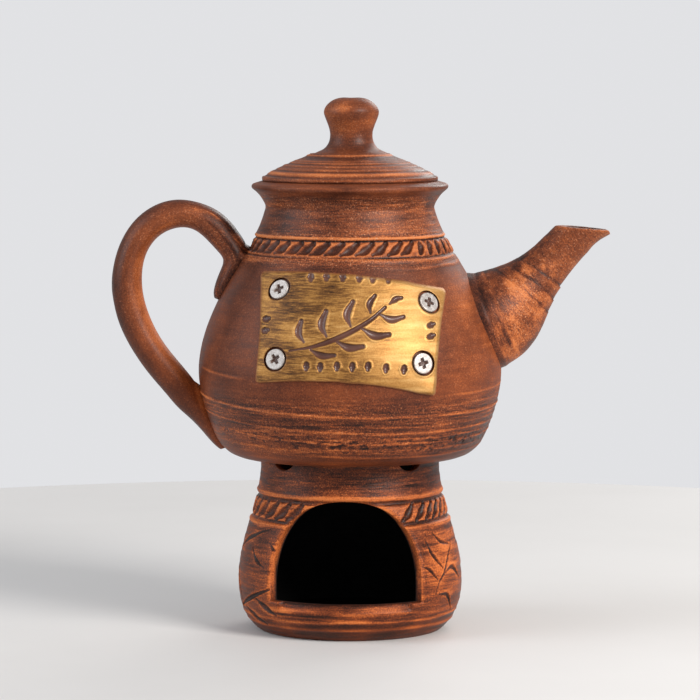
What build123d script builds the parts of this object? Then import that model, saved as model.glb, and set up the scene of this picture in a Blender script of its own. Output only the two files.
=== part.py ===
"""A wheel-thrown red clay teapot on its tealight warmer, in millimetres.

Frame: +Z up, origin at the centre of the warmer's underside, on the common axis of warmer, pot and lid.
+X points to the spout, -X to the handle, and -Y to the front, which carries the plaque and the warmer's arch.
A profile is a list of (radius, height) points, its heights counted from the foot of its own piece.
"""

import math
import os

from build123d import *

# Warmer: a waisted open drum with an arched door and four vents in its rim
WARMER_HEIGHT = 80.0
WARMER_WALL = 5.0
WARMER_FLOOR = 6.0
WARMER_SKIN = [(42, 0), (47.9, 6.6), (51.6, 22), (50.4, 34.6), (46.4, 50), (42.4, 65), (41, WARMER_HEIGHT)]
WARMER_TURN = -3.0  # the door's middle, in degrees round from the front
SILL_HEIGHT = 17.5
ARCH_SPRING = 31.5  # height where the door's straight sides end
ARCH_TOP = 63.3
ARCH_SPREAD = 0.92  # half the door's width over the distance from the axis: its sides are cut radially
DOOR_CUT = (20.0, 60.0)  # distances from the axis between which the door is cut
VENT_RADIUS = 8.7
VENT_RISE = 5.3  # the vents' centres stand this far above the rim
VENT_ANGLES = (45, 135)
WARMER_BAND_HEIGHTS = (52.5, 62.5)  # the two turned lines of the warmer's band

# Pot
POT_WALL = 4.5
POT_FLOOR = 5.0
POT_INNER_CORNER = (54.0, 8.5)
POT_FOOT_RADIUS = 49.0
POT_BELLY = [(57, 3), (64.7, 16), (69.65, 39.5), (63.6, 64.6), (51, 88.3), (42, 104.5), (38.5, 114.5)]
LIP_FLARE = (40.8, 118.9)
LIP_UNDERSIDE = (44.6, 122.6)
LIP_OUTERMOST = (45.3, 123.9)
LIP_TOP = (43.7, 125.1)
MOUTH_RADIUS = 34.8
SEAT_RADIUS = 40.5
POT_HEIGHT = 126.3  # foot to the lid's seat
POT_NECK_START = 91.0  # the neck is its own node above this height, just under the shoulder band
POT_BAND_HEIGHTS = (94.0, 100.5)  # the two turned lines of the shoulder band

# Lid, with heights counted from its seat
LID_RADIUS = 40.3
LID_EDGE = 2.0
LID_DOME = [(39.4, LID_EDGE), (33.2, 5.7), (25, 9.4), (18.5, 12.0)]
LID_TOP = 12.5
LID_SHELL = 4.0
LID_HOLLOW_KNEE = (25.0, 5.4)  # where the hollow under the dome turns from steep to flat
FLANGE_RADIUS = 33.2
FLANGE_WALL = 3.2
FLANGE_DEPTH = 9.0
KNOB_FOOT_RADIUS = 15.3
KNOB_STEM = [(15.3, 13.1), (10.5, 16.7), (9.5, 20.4), (11.6, 27.7), (12.9, 31.8)]
KNOB_SHOULDER = (10.6, 35.2)
KNOB_HEIGHT = 37.7

# Spout: (x, z, rise in degrees, outer radius) from inside the pot to past the mouth, z from the pot's foot
SPOUT_STATIONS = [
    (50, 57.0, 22, 24.8),
    (61, 61.6, 28, 22.9),
    (69.5, 66.2, 36, 21.4),
    (76, 71.8, 42, 18.2),
    (84.5, 81.0, 45, 12.9),
    (94, 91.5, 47, 10.1),
    (104, 102.0, 45, 9.5),
    (113, 111.5, 42, 13.0),
]
SPOUT_WALL = 3.2
MOUTH_HIGH_END = (94.8, 105.7)  # the cut mouth's two ends, (x, z)
SPOUT_TIP = (120.5, 103.7)
STRAINER_HOLE_RADIUS = 2.4
STRAINER_RING_RADIUS = 8.5
STRAINER_CENTRE = (62, 62.0)

# Handle: (x, z, half thickness, half width) from its upper end, pressed on the pot, to its lower end
HANDLE_STATIONS = [
    (-59, 71.0, 2.2, 5.0),
    (-58, 76.0, 4.6, 8.0),
    (-54, 84.5, 5.2, 8.8),
    (-52.2, 91.0, 6.0, 8.8),
    (-56.5, 98.5, 6.1, 8.3),
    (-66, 107.5, 6.1, 8.0),
    (-79, 111.0, 6.4, 8.0),
    (-92.5, 105.0, 6.4, 8.2),
    (-100.5, 92.0, 6.6, 8.4),
    (-102.3, 77.0, 7.0, 8.5),
    (-98.5, 61.0, 7.0, 8.5),
    (-90, 46.0, 6.9, 8.3),
    (-80, 33.5, 6.9, 8.2),
    (-71.5, 23.5, 6.0, 8.6),
    (-63.5, 13.0, 4.6, 8.8),
    (-57, 4.5, 3.2, 7.5),
]

# Plaque: corners seen from the front as (x, z), z from the pot's foot
PLAQUE_THICKNESS = 1.8
PLAQUE_TOP_LEFT = (-39.5, 86.3)
PLAQUE_TOP_RIGHT = (42.9, 79.0)
PLAQUE_BOTTOM_RIGHT = (37.7, 33.1)
PLAQUE_BOTTOM_LEFT = (-41.3, 39.2)
PLAQUE_CORNER_RADIUS = 1.5
PLAQUE_TOP_CROWN = 3.6  # how far the middle of an edge stands off its chord
PLAQUE_BOTTOM_CROWN = 4.5
PLAQUE_SIDE_HOLLOW = 1.0

# Screws: (name, degrees round from the front, height above the pot's foot)
SCREWS = [
    ("screw_upper_left", -33.3, 79.8),
    ("screw_upper_right", 35.4, 74.1),
    ("screw_lower_left", -28.3, 49.3),
    ("screw_lower_right", 27.4, 47.6),
]
SCREW_HEAD_RADIUS = 4.65
SCREW_SHANK_RADIUS = 2.3
SCREW_CONE_HEIGHT = 2.3
SCREW_RIM_HEIGHT = 0.4
SCREW_LENGTH = 4.8
SCREW_WELL_RADIUS = 5.4
CROSS_ARM_LENGTH = 5.4
CROSS_ARM_WIDTH = 1.3
CROSS_DEPTH = 1.5
CROSS_TAPER = 14.0

GROOVE_RADIUS = 0.9  # turned grooves are cut with a round tool
GROOVE_DEPTH = 0.6

profile_plane = Plane.XZ
pot_plane = Plane(origin=(0, 0, WARMER_HEIGHT), x_dir=(1, 0, 0), z_dir=(0, -1, 0))
lid_plane = Plane(origin=(0, 0, WARMER_HEIGHT + POT_HEIGHT), x_dir=(1, 0, 0), z_dir=(0, -1, 0))


def skin_at(skin, height):
    """Radius of a profile curve at a height above its own foot, and its outward normal's rise in degrees."""
    low, high = 0.0, 1.0
    for _ in range(40):
        middle = (low + high) / 2
        if (skin @ middle).Y < height:
            low = middle
        else:
            high = middle
    along = skin % low
    return (skin @ low).X, math.degrees(math.atan2(-along.X, along.Y))


def groove_centre(skin, height):
    """Centre of a turned groove's round section, (radius, height), cut into a profile curve."""
    radius, _ = skin_at(skin, height)
    return radius + GROOVE_RADIUS - GROOVE_DEPTH, height


def draw_pot_skin():
    """Draws the pot's outer profile, foot to lid seat, in the line in progress, and returns its belly curve."""
    belly = Spline((POT_FOOT_RADIUS, 0), *POT_BELLY)
    ThreePointArc(POT_BELLY[-1], LIP_FLARE, LIP_UNDERSIDE)
    ThreePointArc(LIP_UNDERSIDE, LIP_OUTERMOST, LIP_TOP)
    Line(LIP_TOP, (SEAT_RADIUS, POT_HEIGHT))
    return belly


def write(name, piece):
    """Labels a finished piece and writes it under the same name."""
    piece.part.label = name
    export_step(piece.part, f"parts/{name}.step")


os.makedirs("parts", exist_ok=True)

# ---- warmer ----
with BuildPart() as warmer:
    with BuildSketch(profile_plane):
        with BuildLine():
            warmer_skin = Spline(*WARMER_SKIN)
            Polyline(WARMER_SKIN[-1], (0, WARMER_HEIGHT), (0, 0), WARMER_SKIN[0])
        make_face()
    revolve(axis=Axis.Z)

    # The chamber is open at the top, where the pot closes it
    with BuildSketch(profile_plane):
        with BuildLine():
            chamber_wall = [(r - WARMER_WALL, h) for r, h in WARMER_SKIN[2:]]
            floor_edge = (WARMER_SKIN[1][0] - WARMER_WALL, WARMER_FLOOR)
            Spline(floor_edge, *chamber_wall)
            Polyline(chamber_wall[-1], (0, WARMER_HEIGHT), (0, WARMER_FLOOR), floor_edge)
        make_face()
    revolve(axis=Axis.Z, mode=Mode.SUBTRACT)

    # The door is a wedge that narrows to the axis, so its sides run radially through the wall
    door_front = Plane.XZ.rotated((0, 0, WARMER_TURN))
    for distance in DOOR_CUT:
        with BuildSketch(door_front.offset(distance)):
            half_width = ARCH_SPREAD * distance
            with BuildLine():
                Line((-half_width, SILL_HEIGHT), (half_width, SILL_HEIGHT))
                Line((half_width, SILL_HEIGHT), (half_width, ARCH_SPRING))
                EllipticalCenterArc((0, ARCH_SPRING), half_width, ARCH_TOP - ARCH_SPRING, 0, arc_size=180)
                Line((-half_width, ARCH_SPRING), (-half_width, SILL_HEIGHT))
            make_face()
    loft(ruled=True, mode=Mode.SUBTRACT)

    # Two round-bottomed notches right across the rim give four vents under the pot
    for angle in VENT_ANGLES:
        with BuildSketch(Plane.XZ.rotated((0, 0, WARMER_TURN + angle))):
            with Locations((0, WARMER_HEIGHT + VENT_RISE)):
                Circle(VENT_RADIUS)
        extrude(amount=2 * WARMER_SKIN[2][0], both=True, mode=Mode.SUBTRACT)

    with BuildSketch(profile_plane):
        for height in WARMER_BAND_HEIGHTS:
            with Locations(groove_centre(warmer_skin, height)):
                Circle(GROOVE_RADIUS)
    revolve(axis=Axis.Z, mode=Mode.SUBTRACT)

# ---- pot's outer form, also the cutter that fits spout, handle and plaque to it ----
with BuildPart() as pot_form:
    with BuildSketch(pot_plane):
        with BuildLine():
            pot_skin = draw_pot_skin()
            Polyline((SEAT_RADIUS, POT_HEIGHT), (0, POT_HEIGHT), (0, 0), (POT_FOOT_RADIUS, 0))
        make_face()
    revolve(axis=Axis.Z)

# ---- plaque: a slab pressed on the belly ----
with BuildPart() as plaque:
    with BuildSketch(profile_plane) as plaque_outline:
        with BuildLine():
            top_left, top_right, bottom_right, bottom_left = (
                (x, WARMER_HEIGHT + z)
                for x, z in (PLAQUE_TOP_LEFT, PLAQUE_TOP_RIGHT, PLAQUE_BOTTOM_RIGHT, PLAQUE_BOTTOM_LEFT)
            )
            SagittaArc(top_left, top_right, PLAQUE_TOP_CROWN)
            SagittaArc(top_right, bottom_right, -PLAQUE_SIDE_HOLLOW)
            SagittaArc(bottom_right, bottom_left, -PLAQUE_BOTTOM_CROWN)
            SagittaArc(bottom_left, top_left, PLAQUE_SIDE_HOLLOW)
        make_face()
        fillet(plaque_outline.vertices(), PLAQUE_CORNER_RADIUS)
    extrude(amount=2 * POT_FOOT_RADIUS)
    with BuildSketch(pot_plane):
        with BuildLine():
            low_point, *belly_points = [(r + PLAQUE_THICKNESS, h) for r, h in POT_BELLY[1:6]]
            Spline(low_point, *belly_points)
            Polyline(belly_points[-1], (0, belly_points[-1][1]), (0, low_point[1]), low_point)
        make_face()
    revolve(axis=Axis.Z, mode=Mode.INTERSECT)
    add(pot_form.part, mode=Mode.SUBTRACT)


def screw_plane(angle, height):
    """The plane of a screw head's face, flush with the plaque, its normal pointing out."""
    radius, rise = skin_at(pot_skin, height)
    lean, turn = math.radians(rise), math.radians(angle)
    outward = (math.cos(lean) * math.sin(turn), -math.cos(lean) * math.cos(turn), math.sin(lean))
    sideways = (math.cos(turn), math.sin(turn), 0)
    on_skin = (radius * math.sin(turn), -radius * math.cos(turn), WARMER_HEIGHT + height)
    return Plane(origin=on_skin, x_dir=sideways, z_dir=outward).offset(PLAQUE_THICKNESS)


# ---- screws: countersunk heads in wells through the plaque, shanks in blind holes in the wall ----
screw_faces, screw_blanks = [], []
for screw_name, screw_angle, screw_height in SCREWS:
    face = screw_plane(screw_angle, screw_height)
    with BuildPart() as screw:
        with BuildSketch(Plane(origin=face.origin, x_dir=face.x_dir, z_dir=-face.y_dir)):
            with BuildLine():
                Polyline(
                    (0, 0),
                    (SCREW_HEAD_RADIUS, 0),
                    (SCREW_HEAD_RADIUS, -SCREW_RIM_HEIGHT),
                    (SCREW_SHANK_RADIUS, -SCREW_RIM_HEIGHT - SCREW_CONE_HEIGHT),
                    (SCREW_SHANK_RADIUS, -SCREW_LENGTH),
                    (0, -SCREW_LENGTH),
                    close=True,
                )
            make_face()
        revolve(axis=Axis(face.origin, face.z_dir))
        screw_blanks.append(screw.part)
        with BuildSketch(face):
            Rectangle(CROSS_ARM_LENGTH, CROSS_ARM_WIDTH)
            Rectangle(CROSS_ARM_WIDTH, CROSS_ARM_LENGTH)
        extrude(amount=-CROSS_DEPTH, taper=CROSS_TAPER, mode=Mode.SUBTRACT)
    write(screw_name, screw)
    screw_faces.append(face)

with BuildPart() as drilled_plaque:
    add(plaque.part)
    for face in screw_faces:
        with BuildSketch(face.offset(-2 * PLAQUE_THICKNESS)):
            Circle(SCREW_WELL_RADIUS)
        extrude(amount=4 * PLAQUE_THICKNESS, mode=Mode.SUBTRACT)

# ---- pot: thrown in one piece, and kept here as a belly and a neck that meet face to face ----
with BuildPart() as whole_pot:
    with BuildSketch(pot_plane):
        with BuildLine():
            draw_pot_skin()
            cavity_floor = (POT_FOOT_RADIUS - POT_WALL, POT_FLOOR)
            cavity_wall = [POT_INNER_CORNER] + [(r - POT_WALL, h) for r, h in POT_BELLY[1:]]
            Polyline((SEAT_RADIUS, POT_HEIGHT), (MOUTH_RADIUS, POT_HEIGHT), cavity_wall[-1])
            Spline(cavity_floor, *cavity_wall)
            Polyline(cavity_floor, (0, POT_FLOOR), (0, 0), (POT_FOOT_RADIUS, 0))
        make_face()
    revolve(axis=Axis.Z)

    # Strainer: one hole in the middle of a ring of six, poked through the wall behind the spout
    strainer = Plane(
        origin=(STRAINER_CENTRE[0], 0, WARMER_HEIGHT + STRAINER_CENTRE[1]),
        z_dir=(math.cos(math.radians(SPOUT_STATIONS[0][2])), 0, math.sin(math.radians(SPOUT_STATIONS[0][2]))),
    )
    with BuildSketch(strainer):
        Circle(STRAINER_HOLE_RADIUS)
        with PolarLocations(STRAINER_RING_RADIUS, 6):
            Circle(STRAINER_HOLE_RADIUS)
    extrude(amount=4 * POT_WALL, both=True, mode=Mode.SUBTRACT)

    with BuildSketch(pot_plane):
        for height in POT_BAND_HEIGHTS:
            with Locations(groove_centre(pot_skin, height)):
                Circle(GROOVE_RADIUS)
    revolve(axis=Axis.Z, mode=Mode.SUBTRACT)
    for blank in screw_blanks:
        add(blank, mode=Mode.SUBTRACT)

neck_foot = Plane.XY.offset(WARMER_HEIGHT + POT_NECK_START)
with BuildPart() as teapot_body:
    add(whole_pot.part)
    split(bisect_by=neck_foot, keep=Keep.BOTTOM)

with BuildPart() as teapot_neck:
    add(whole_pot.part)
    split(bisect_by=neck_foot, keep=Keep.TOP)

# ---- spout ----
with BuildPart() as spout:
    for bore in (False, True):
        for x, z, rise, radius in SPOUT_STATIONS:
            lean = math.radians(rise)
            section = Plane(
                origin=(x, 0, WARMER_HEIGHT + z),
                x_dir=(0, 1, 0),
                z_dir=(math.cos(lean), 0, math.sin(lean)),
            )
            with BuildSketch(section):
                Circle(radius - SPOUT_WALL if bore else radius)
        loft(mode=Mode.SUBTRACT if bore else Mode.ADD)
    add(pot_form.part, mode=Mode.SUBTRACT)
    # The mouth is one slanting cut
    mouth_run = SPOUT_TIP[0] - MOUTH_HIGH_END[0]
    mouth_fall = SPOUT_TIP[1] - MOUTH_HIGH_END[1]
    mouth = Plane(
        origin=(MOUTH_HIGH_END[0], 0, WARMER_HEIGHT + MOUTH_HIGH_END[1]),
        z_dir=(-mouth_fall, 0, mouth_run),
    )
    split(bisect_by=mouth, keep=Keep.BOTTOM)

# ---- handle ----
with BuildPart() as handle:
    with BuildLine():
        handle_points = [(x, 0, WARMER_HEIGHT + z) for x, z, _, _ in HANDLE_STATIONS]
        handle_path = Spline(*handle_points)
    for point, (_, _, half_thickness, half_width) in zip(handle_points, HANDLE_STATIONS):
        with BuildSketch(Plane(origin=point, x_dir=(0, 1, 0), z_dir=handle_path.tangent_at(point))):
            Ellipse(half_width, half_thickness)
    loft()
    add(pot_form.part, mode=Mode.SUBTRACT)

# ---- lid and its knob ----
with BuildPart() as lid:
    with BuildSketch(lid_plane):
        with BuildLine():
            dome = Spline(*LID_DOME)
            Polyline(
                LID_DOME[-1],
                (LID_DOME[-1][0], LID_TOP),
                (0, LID_TOP),
                (0, 0),
                (LID_RADIUS, 0),
                (LID_RADIUS, LID_EDGE),
                LID_DOME[0],
            )
        make_face()
    revolve(axis=Axis.Z)
    with BuildSketch(lid_plane):
        with Locations((FLANGE_RADIUS - FLANGE_WALL, -FLANGE_DEPTH)):
            Rectangle(FLANGE_WALL, FLANGE_DEPTH + LID_EDGE, align=(Align.MIN, Align.MIN))
    revolve(axis=Axis.Z)
    with BuildSketch(lid_plane):
        with BuildLine():
            hollow_edge = (FLANGE_RADIUS - FLANGE_WALL, 0)
            hollow_top = (0, LID_TOP - LID_SHELL)
            Spline(hollow_edge, LID_HOLLOW_KNEE, hollow_top, tangents=[(-0.2, 1), (-1, 0)])
            Polyline(hollow_top, (0, 0), hollow_edge)
        make_face()
    revolve(axis=Axis.Z, mode=Mode.SUBTRACT)

with BuildPart() as lid_knob:
    with BuildSketch(lid_plane):
        with BuildLine():
            Spline(*KNOB_STEM)
            Spline(KNOB_STEM[-1], KNOB_SHOULDER, (0, KNOB_HEIGHT))
            Polyline((0, KNOB_HEIGHT), (0, LID_TOP), (KNOB_FOOT_RADIUS, LID_TOP), KNOB_STEM[0])
        make_face()
    revolve(axis=Axis.Z)

write("warmer", warmer)
write("teapot_body", teapot_body)
write("teapot_neck", teapot_neck)
write("spout", spout)
write("handle", handle)
write("plaque", drilled_plaque)
write("lid", lid)
write("lid_knob", lid_knob)
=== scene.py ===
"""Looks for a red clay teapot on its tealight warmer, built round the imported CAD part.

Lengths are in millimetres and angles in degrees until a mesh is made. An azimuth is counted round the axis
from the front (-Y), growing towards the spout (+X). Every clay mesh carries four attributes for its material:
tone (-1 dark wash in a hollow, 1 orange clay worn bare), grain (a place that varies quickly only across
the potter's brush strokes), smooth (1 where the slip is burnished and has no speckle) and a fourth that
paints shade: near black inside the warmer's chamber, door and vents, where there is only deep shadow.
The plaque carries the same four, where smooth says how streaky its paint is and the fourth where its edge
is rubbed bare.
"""

import math

import bmesh
import bpy
import numpy as np
from mathutils import Matrix, Vector
from mathutils.kdtree import KDTree


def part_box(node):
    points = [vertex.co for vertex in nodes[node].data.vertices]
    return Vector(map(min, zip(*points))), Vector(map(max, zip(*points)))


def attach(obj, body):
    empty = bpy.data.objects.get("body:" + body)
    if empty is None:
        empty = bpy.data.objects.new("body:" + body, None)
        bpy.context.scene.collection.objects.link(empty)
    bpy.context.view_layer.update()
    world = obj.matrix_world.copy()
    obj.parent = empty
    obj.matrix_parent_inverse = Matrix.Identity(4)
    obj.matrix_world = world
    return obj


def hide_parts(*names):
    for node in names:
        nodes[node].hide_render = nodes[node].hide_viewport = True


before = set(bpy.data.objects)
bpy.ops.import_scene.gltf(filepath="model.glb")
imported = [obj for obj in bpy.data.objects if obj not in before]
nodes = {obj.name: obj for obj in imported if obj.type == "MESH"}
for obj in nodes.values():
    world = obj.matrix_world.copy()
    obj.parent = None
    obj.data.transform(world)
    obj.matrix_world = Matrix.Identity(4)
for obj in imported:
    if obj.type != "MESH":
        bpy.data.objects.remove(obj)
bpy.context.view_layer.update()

MM = 0.001
scene = bpy.context.scene

# Heights above the table, all read from the CAD nodes
RIM_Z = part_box("warmer")[1].z / MM
FOOT_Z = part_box("teapot_body")[0].z / MM
NECK_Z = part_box("teapot_neck")[0].z / MM
LID_TOP_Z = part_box("lid")[1].z / MM


# ---- numbers

def gauss(distance, width):
    return np.exp(-((distance / width) ** 2))


def ramp(value, low, high):
    """0 below low, 1 above high, with a smooth step between them. High may be under low."""
    t = np.clip((value - low) / (high - low), 0.0, 1.0)
    return t * t * (3 - 2 * t)


def window(value, ramps):
    """The product of ramps over a value, each given by (where it is 0, where it is 1)."""
    share = 1.0
    for low, high in ramps:
        share = share * ramp(value, low, high)
    return share


def turned(azimuth, middle):
    """The azimuth counted from another one, from -180 to 180."""
    return (azimuth - middle + 180) % 360 - 180


def blurred(field, row_sigma, column_sigma):
    """A (rows, columns) field smoothed by Gaussians, its rows ending and its columns wrapping round."""
    pad = int(4 * row_sigma) + 1
    tall = np.pad(field, ((pad, pad), (0, 0)), mode="edge")
    rows = np.fft.fftfreq(tall.shape[0])[:, None]
    columns = np.fft.rfftfreq(tall.shape[1])[None, :]
    weight = np.exp(-2 * (math.pi * rows * row_sigma) ** 2 - 2 * (math.pi * columns * column_sigma) ** 2)
    return np.fft.irfft2(np.fft.rfft2(tall) * weight, s=tall.shape)[pad:-pad]


NOISE_SIZE = 256


def cloudy(x, y, seed, wrap=NOISE_SIZE):
    """Smooth seeded noise from -1 to 1 over x and y, one bump to a unit, repeating in x after wrap units."""
    grid = np.random.default_rng(seed).uniform(-1, 1, (NOISE_SIZE, wrap))
    x, y = np.broadcast_arrays(x, y)
    column, row = np.floor(x).astype(int), np.floor(y).astype(int)
    u, v = ramp(x - column, 0, 1), ramp(y - row, 0, 1)
    near, far = column % wrap, (column + 1) % wrap
    low, high = row % NOISE_SIZE, (row + 1) % NOISE_SIZE
    bottom = grid[low, near] * (1 - u) + grid[low, far] * u
    top = grid[high, near] * (1 - u) + grid[high, far] * u
    return bottom * (1 - v) + top * v


def rounded_line(points, per_run=8):
    """A smooth line through the points (Catmull-Rom)."""
    p = np.array(points, float)
    p = np.vstack([2 * p[0] - p[1], p, 2 * p[-1] - p[-2]])
    t = np.linspace(0, 1, per_run, endpoint=False)[:, None]
    runs = []
    for a, b, c, d in zip(p, p[1:], p[2:], p[3:]):
        runs.append(0.5 * (2 * b + (c - a) * t + (2 * a - 5 * b + 4 * c - d) * t**2
                           + (3 * b - a - 3 * c + d) * t**3))
    return np.vstack([*runs, p[-2:-1]])


def to_line(x, y, line, reach):
    """Distance to a line from each point within reach of it, and how far along it that is, 0 to 1."""
    distance = np.full(x.shape, np.inf)
    along = np.zeros(x.shape)
    low, high = line.min(0) - reach, line.max(0) + reach
    near = np.nonzero((x > low[0]) & (x < high[0]) & (y > low[1]) & (y < high[1]))
    px, py = x[near], y[near]
    best, where = np.full(px.shape, np.inf), np.zeros(px.shape)
    lengths = np.hypot(*np.diff(line, axis=0).T)
    starts = np.concatenate([[0], np.cumsum(lengths)])
    for (ax, ay), (bx, by), length, start in zip(line, line[1:], lengths, starts):
        t = np.clip(((px - ax) * (bx - ax) + (py - ay) * (by - ay)) / max(length, 1e-6) ** 2, 0, 1)
        gap = np.hypot(px - ax - t * (bx - ax), py - ay - t * (by - ay))
        closer = gap < best
        best = np.where(closer, gap, best)
        where = np.where(closer, (start + t * length) / starts[-1], where)
    distance[near] = best
    along[near] = where
    return distance, along


def carve(x, y, strokes):
    """Relief of round-bottomed strokes: (cut, burr), both zero or more, in mm.

    A stroke is (points, half width, depth, burr height, how far its start and its end thin out, 0 to 1).
    """
    cut, burr = np.zeros(x.shape), np.zeros(x.shape)
    for points, half_width, depth, lip, thin_start, thin_end in strokes:
        line = rounded_line(points) if len(points) > 2 else np.array(points, float)
        distance, along = to_line(x, y, line, 3 * half_width)
        thin = 1 - thin_start * (1 - ramp(along, 0, 0.5)) - thin_end * ramp(along, 0.5, 1)
        across = distance / (half_width * np.clip(thin, 0.12, 1))
        cut = np.maximum(cut, depth * thin * np.clip(1 - across**2, 0, 1) ** 0.8)
        burr = np.maximum(burr, lip * thin * np.where(across > 1, gauss(across - 1.25, 0.35), 0))
    return cut, np.where(cut > 0, 0, burr)


# ---- meshes

def new_object(name, points_mm, faces, attributes):
    """A smooth-shaded mesh object from points in mm, with one float or vector attribute per entry."""
    mesh = bpy.data.meshes.new(name)
    mesh.vertices.add(len(points_mm))
    mesh.vertices.foreach_set("co", (points_mm * MM).astype(np.float32).ravel())
    sizes = np.concatenate([np.full(len(f), f.shape[1]) for f in faces])
    corners = np.concatenate([f.ravel() for f in faces])
    mesh.loops.add(len(corners))
    mesh.loops.foreach_set("vertex_index", corners.astype(np.int32))
    mesh.polygons.add(len(sizes))
    mesh.polygons.foreach_set("loop_start", (np.cumsum(sizes) - sizes).astype(np.int32))
    mesh.update(calc_edges=True)
    mesh.shade_smooth()
    write_attributes(mesh, attributes)
    obj = bpy.data.objects.new(name, mesh)
    scene.collection.objects.link(obj)
    return obj


def write_attributes(mesh, attributes):
    for key, values in attributes.items():
        old = mesh.attributes.get(key)
        if old is not None:
            mesh.attributes.remove(old)
        vector = values.ndim == 2
        layer = mesh.attributes.new(key, "FLOAT_VECTOR" if vector else "FLOAT", "POINT")
        layer.data.foreach_set("vector" if vector else "value", values.astype(np.float32).ravel())


def points_of(mesh):
    """Vertices in mm."""
    co = np.zeros(len(mesh.vertices) * 3, np.float32)
    mesh.vertices.foreach_get("co", co)
    return co.reshape(-1, 3).astype(float) / MM


def baked(obj):
    """Replaces the object's mesh by what its modifiers make of it."""
    depsgraph = bpy.context.evaluated_depsgraph_get()
    mesh = bpy.data.meshes.new_from_object(obj.evaluated_get(depsgraph))
    obj.modifiers.clear()
    obj.data = mesh


WELD_MM = 0.03  # points of a CAD node closer than this are one point


def wall_outline(names, seam_z=None):
    """(radius, height) points round the wall of turned CAD nodes, from the axis back to the axis.

    They are read where the half-plane behind the axis cuts the nodes. Edges at height seam_z, where
    two nodes meet face to face, are left out, so the nodes read as one wall.
    """
    flat = bmesh.new()
    for name in names:
        cut = bmesh.new()
        cut.from_mesh(nodes[name].data)
        bmesh.ops.remove_doubles(cut, verts=cut.verts, dist=1e-6)
        everything = [*cut.verts, *cut.edges, *cut.faces]
        bmesh.ops.bisect_plane(
            cut, geom=everything, plane_co=(0, 1e-6, 0), plane_no=(0, 1, 0), clear_inner=True
        )
        everything = [*cut.verts, *cut.edges, *cut.faces]
        made = bmesh.ops.bisect_plane(cut, geom=everything, plane_co=(1e-5, 0, 0), plane_no=(1, 0, 0))
        for edge in made["geom_cut"]:
            if not isinstance(edge, bmesh.types.BMEdge):
                continue
            (ya, za), (yb, zb) = ((v.co.y / MM, v.co.z / MM) for v in edge.verts)
            if seam_z is not None and abs(za - seam_z) < WELD_MM and abs(zb - seam_z) < WELD_MM:
                continue
            flat.edges.new((flat.verts.new((ya, za, 0)), flat.verts.new((yb, zb, 0))))
        cut.free()
    bmesh.ops.remove_doubles(flat, verts=flat.verts, dist=WELD_MM)
    ends = [v for v in flat.verts if len(v.link_edges) == 1 and v.co.x < 1]
    vertex = min(ends, key=lambda v: v.co.y)
    walked, edge = [], None
    while vertex is not None:
        walked.append((max(vertex.co.x, 0.0), vertex.co.y))
        ahead = [e for e in vertex.link_edges if e is not edge]
        edge = ahead[0] if ahead else None
        vertex = edge.other_vert(vertex) if edge else None
    flat.free()
    return np.array(walked)


FINE_MM = 0.1  # spacing of the points an outline is rounded with


def rows_along(outline, round_mm, step_of):
    """Rows along an outline whose corners are rounded: (radius, height, distance along, normal).

    step_of(radius, height, share of the way along) gives the distance between rows.
    """
    lengths = np.concatenate([[0], np.cumsum(np.hypot(*np.diff(outline, axis=0).T))])
    along = np.arange(0, lengths[-1], FINE_MM)
    path = np.stack([np.interp(along, lengths, outline[:, i]) for i in (0, 1)], 1)
    pad = int(4 * round_mm / FINE_MM) + 1
    before, after = path[pad:0:-1] * (-1, 1), path[-2 : -pad - 2 : -1] * (-1, 1)
    kernel = gauss(np.arange(-pad, pad + 1) * FINE_MM, round_mm * math.sqrt(2))
    long_path = np.vstack([before, path, after])
    path = np.stack([np.convolve(long_path[:, i], kernel / kernel.sum(), "valid") for i in (0, 1)], 1)
    rows_passed = np.cumsum(FINE_MM / step_of(path[:, 0], path[:, 1], along / along[-1]))
    wanted = np.linspace(rows_passed[0], rows_passed[-1], int(rows_passed[-1]))
    at = np.interp(wanted, rows_passed, along)
    r, z = (np.interp(at, along, path[:, i]) for i in (0, 1))
    slope = np.gradient(path, axis=0)
    dr, dz = (np.interp(at, along, slope[:, i]) for i in (0, 1))
    length = np.hypot(dr, dz)
    return np.maximum(r, 0), z, at, np.stack([dz, -dr], 1) / length[:, None]


STREAK_LENGTH = 16.0  # how many times longer than wide the brush strokes are


def lathe(name, rows, columns, relief):
    """A closed turned piece. relief(azimuth, radius, height, along) gives how far the skin stands off the
    profile and a dict of attribute fields, all as (rows, columns) arrays."""
    radius, height, along, normal = rows
    azimuth = np.linspace(-180, 180, columns, endpoint=False)[None, :]
    shape = (len(radius), columns)
    full = [np.broadcast_to(a, shape) for a in (azimuth, radius[:, None], height[:, None], along[:, None])]
    lift, fields = relief(*full)
    lift = lift * ramp(full[1], 0, 4)
    r = radius[:, None] + lift * normal[:, :1]
    z = height[:, None] + lift * normal[:, 1:]
    angle = np.radians(azimuth)
    grid = np.stack([r * np.sin(angle), -r * np.cos(angle), z + 0 * r], -1)
    inside = grid[1:-1].reshape(-1, 3)
    poles = np.array([[0, 0, height[0]], [0, 0, height[-1]]])
    index = np.arange(len(inside)).reshape(-1, columns)
    right = np.roll(index, -1, 1)
    quads = np.stack([index[:-1], right[:-1], right[1:], index[1:]], -1).reshape(-1, 4)
    first, last = len(inside), len(inside) + 1
    fan_in = np.stack([np.full(columns, first), right[0], index[0]], -1)
    fan_out = np.stack([np.full(columns, last), index[-1], right[-1]], -1)
    slow = 1.0 / STREAK_LENGTH
    fields["grain"] = np.stack([grid[..., 0] * slow, grid[..., 1] * slow, full[3]], -1)
    flat = {}
    for key, field in fields.items():
        field = np.broadcast_to(field, shape + field.shape[2:])
        ends = np.stack([field[0].mean(0), field[-1].mean(0)])
        flat[key] = np.concatenate([field[1:-1].reshape(len(inside), *field.shape[2:]), ends])
    return new_object(name, np.vstack([inside, poles]), [quads, fan_in, fan_out], flat)


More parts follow.
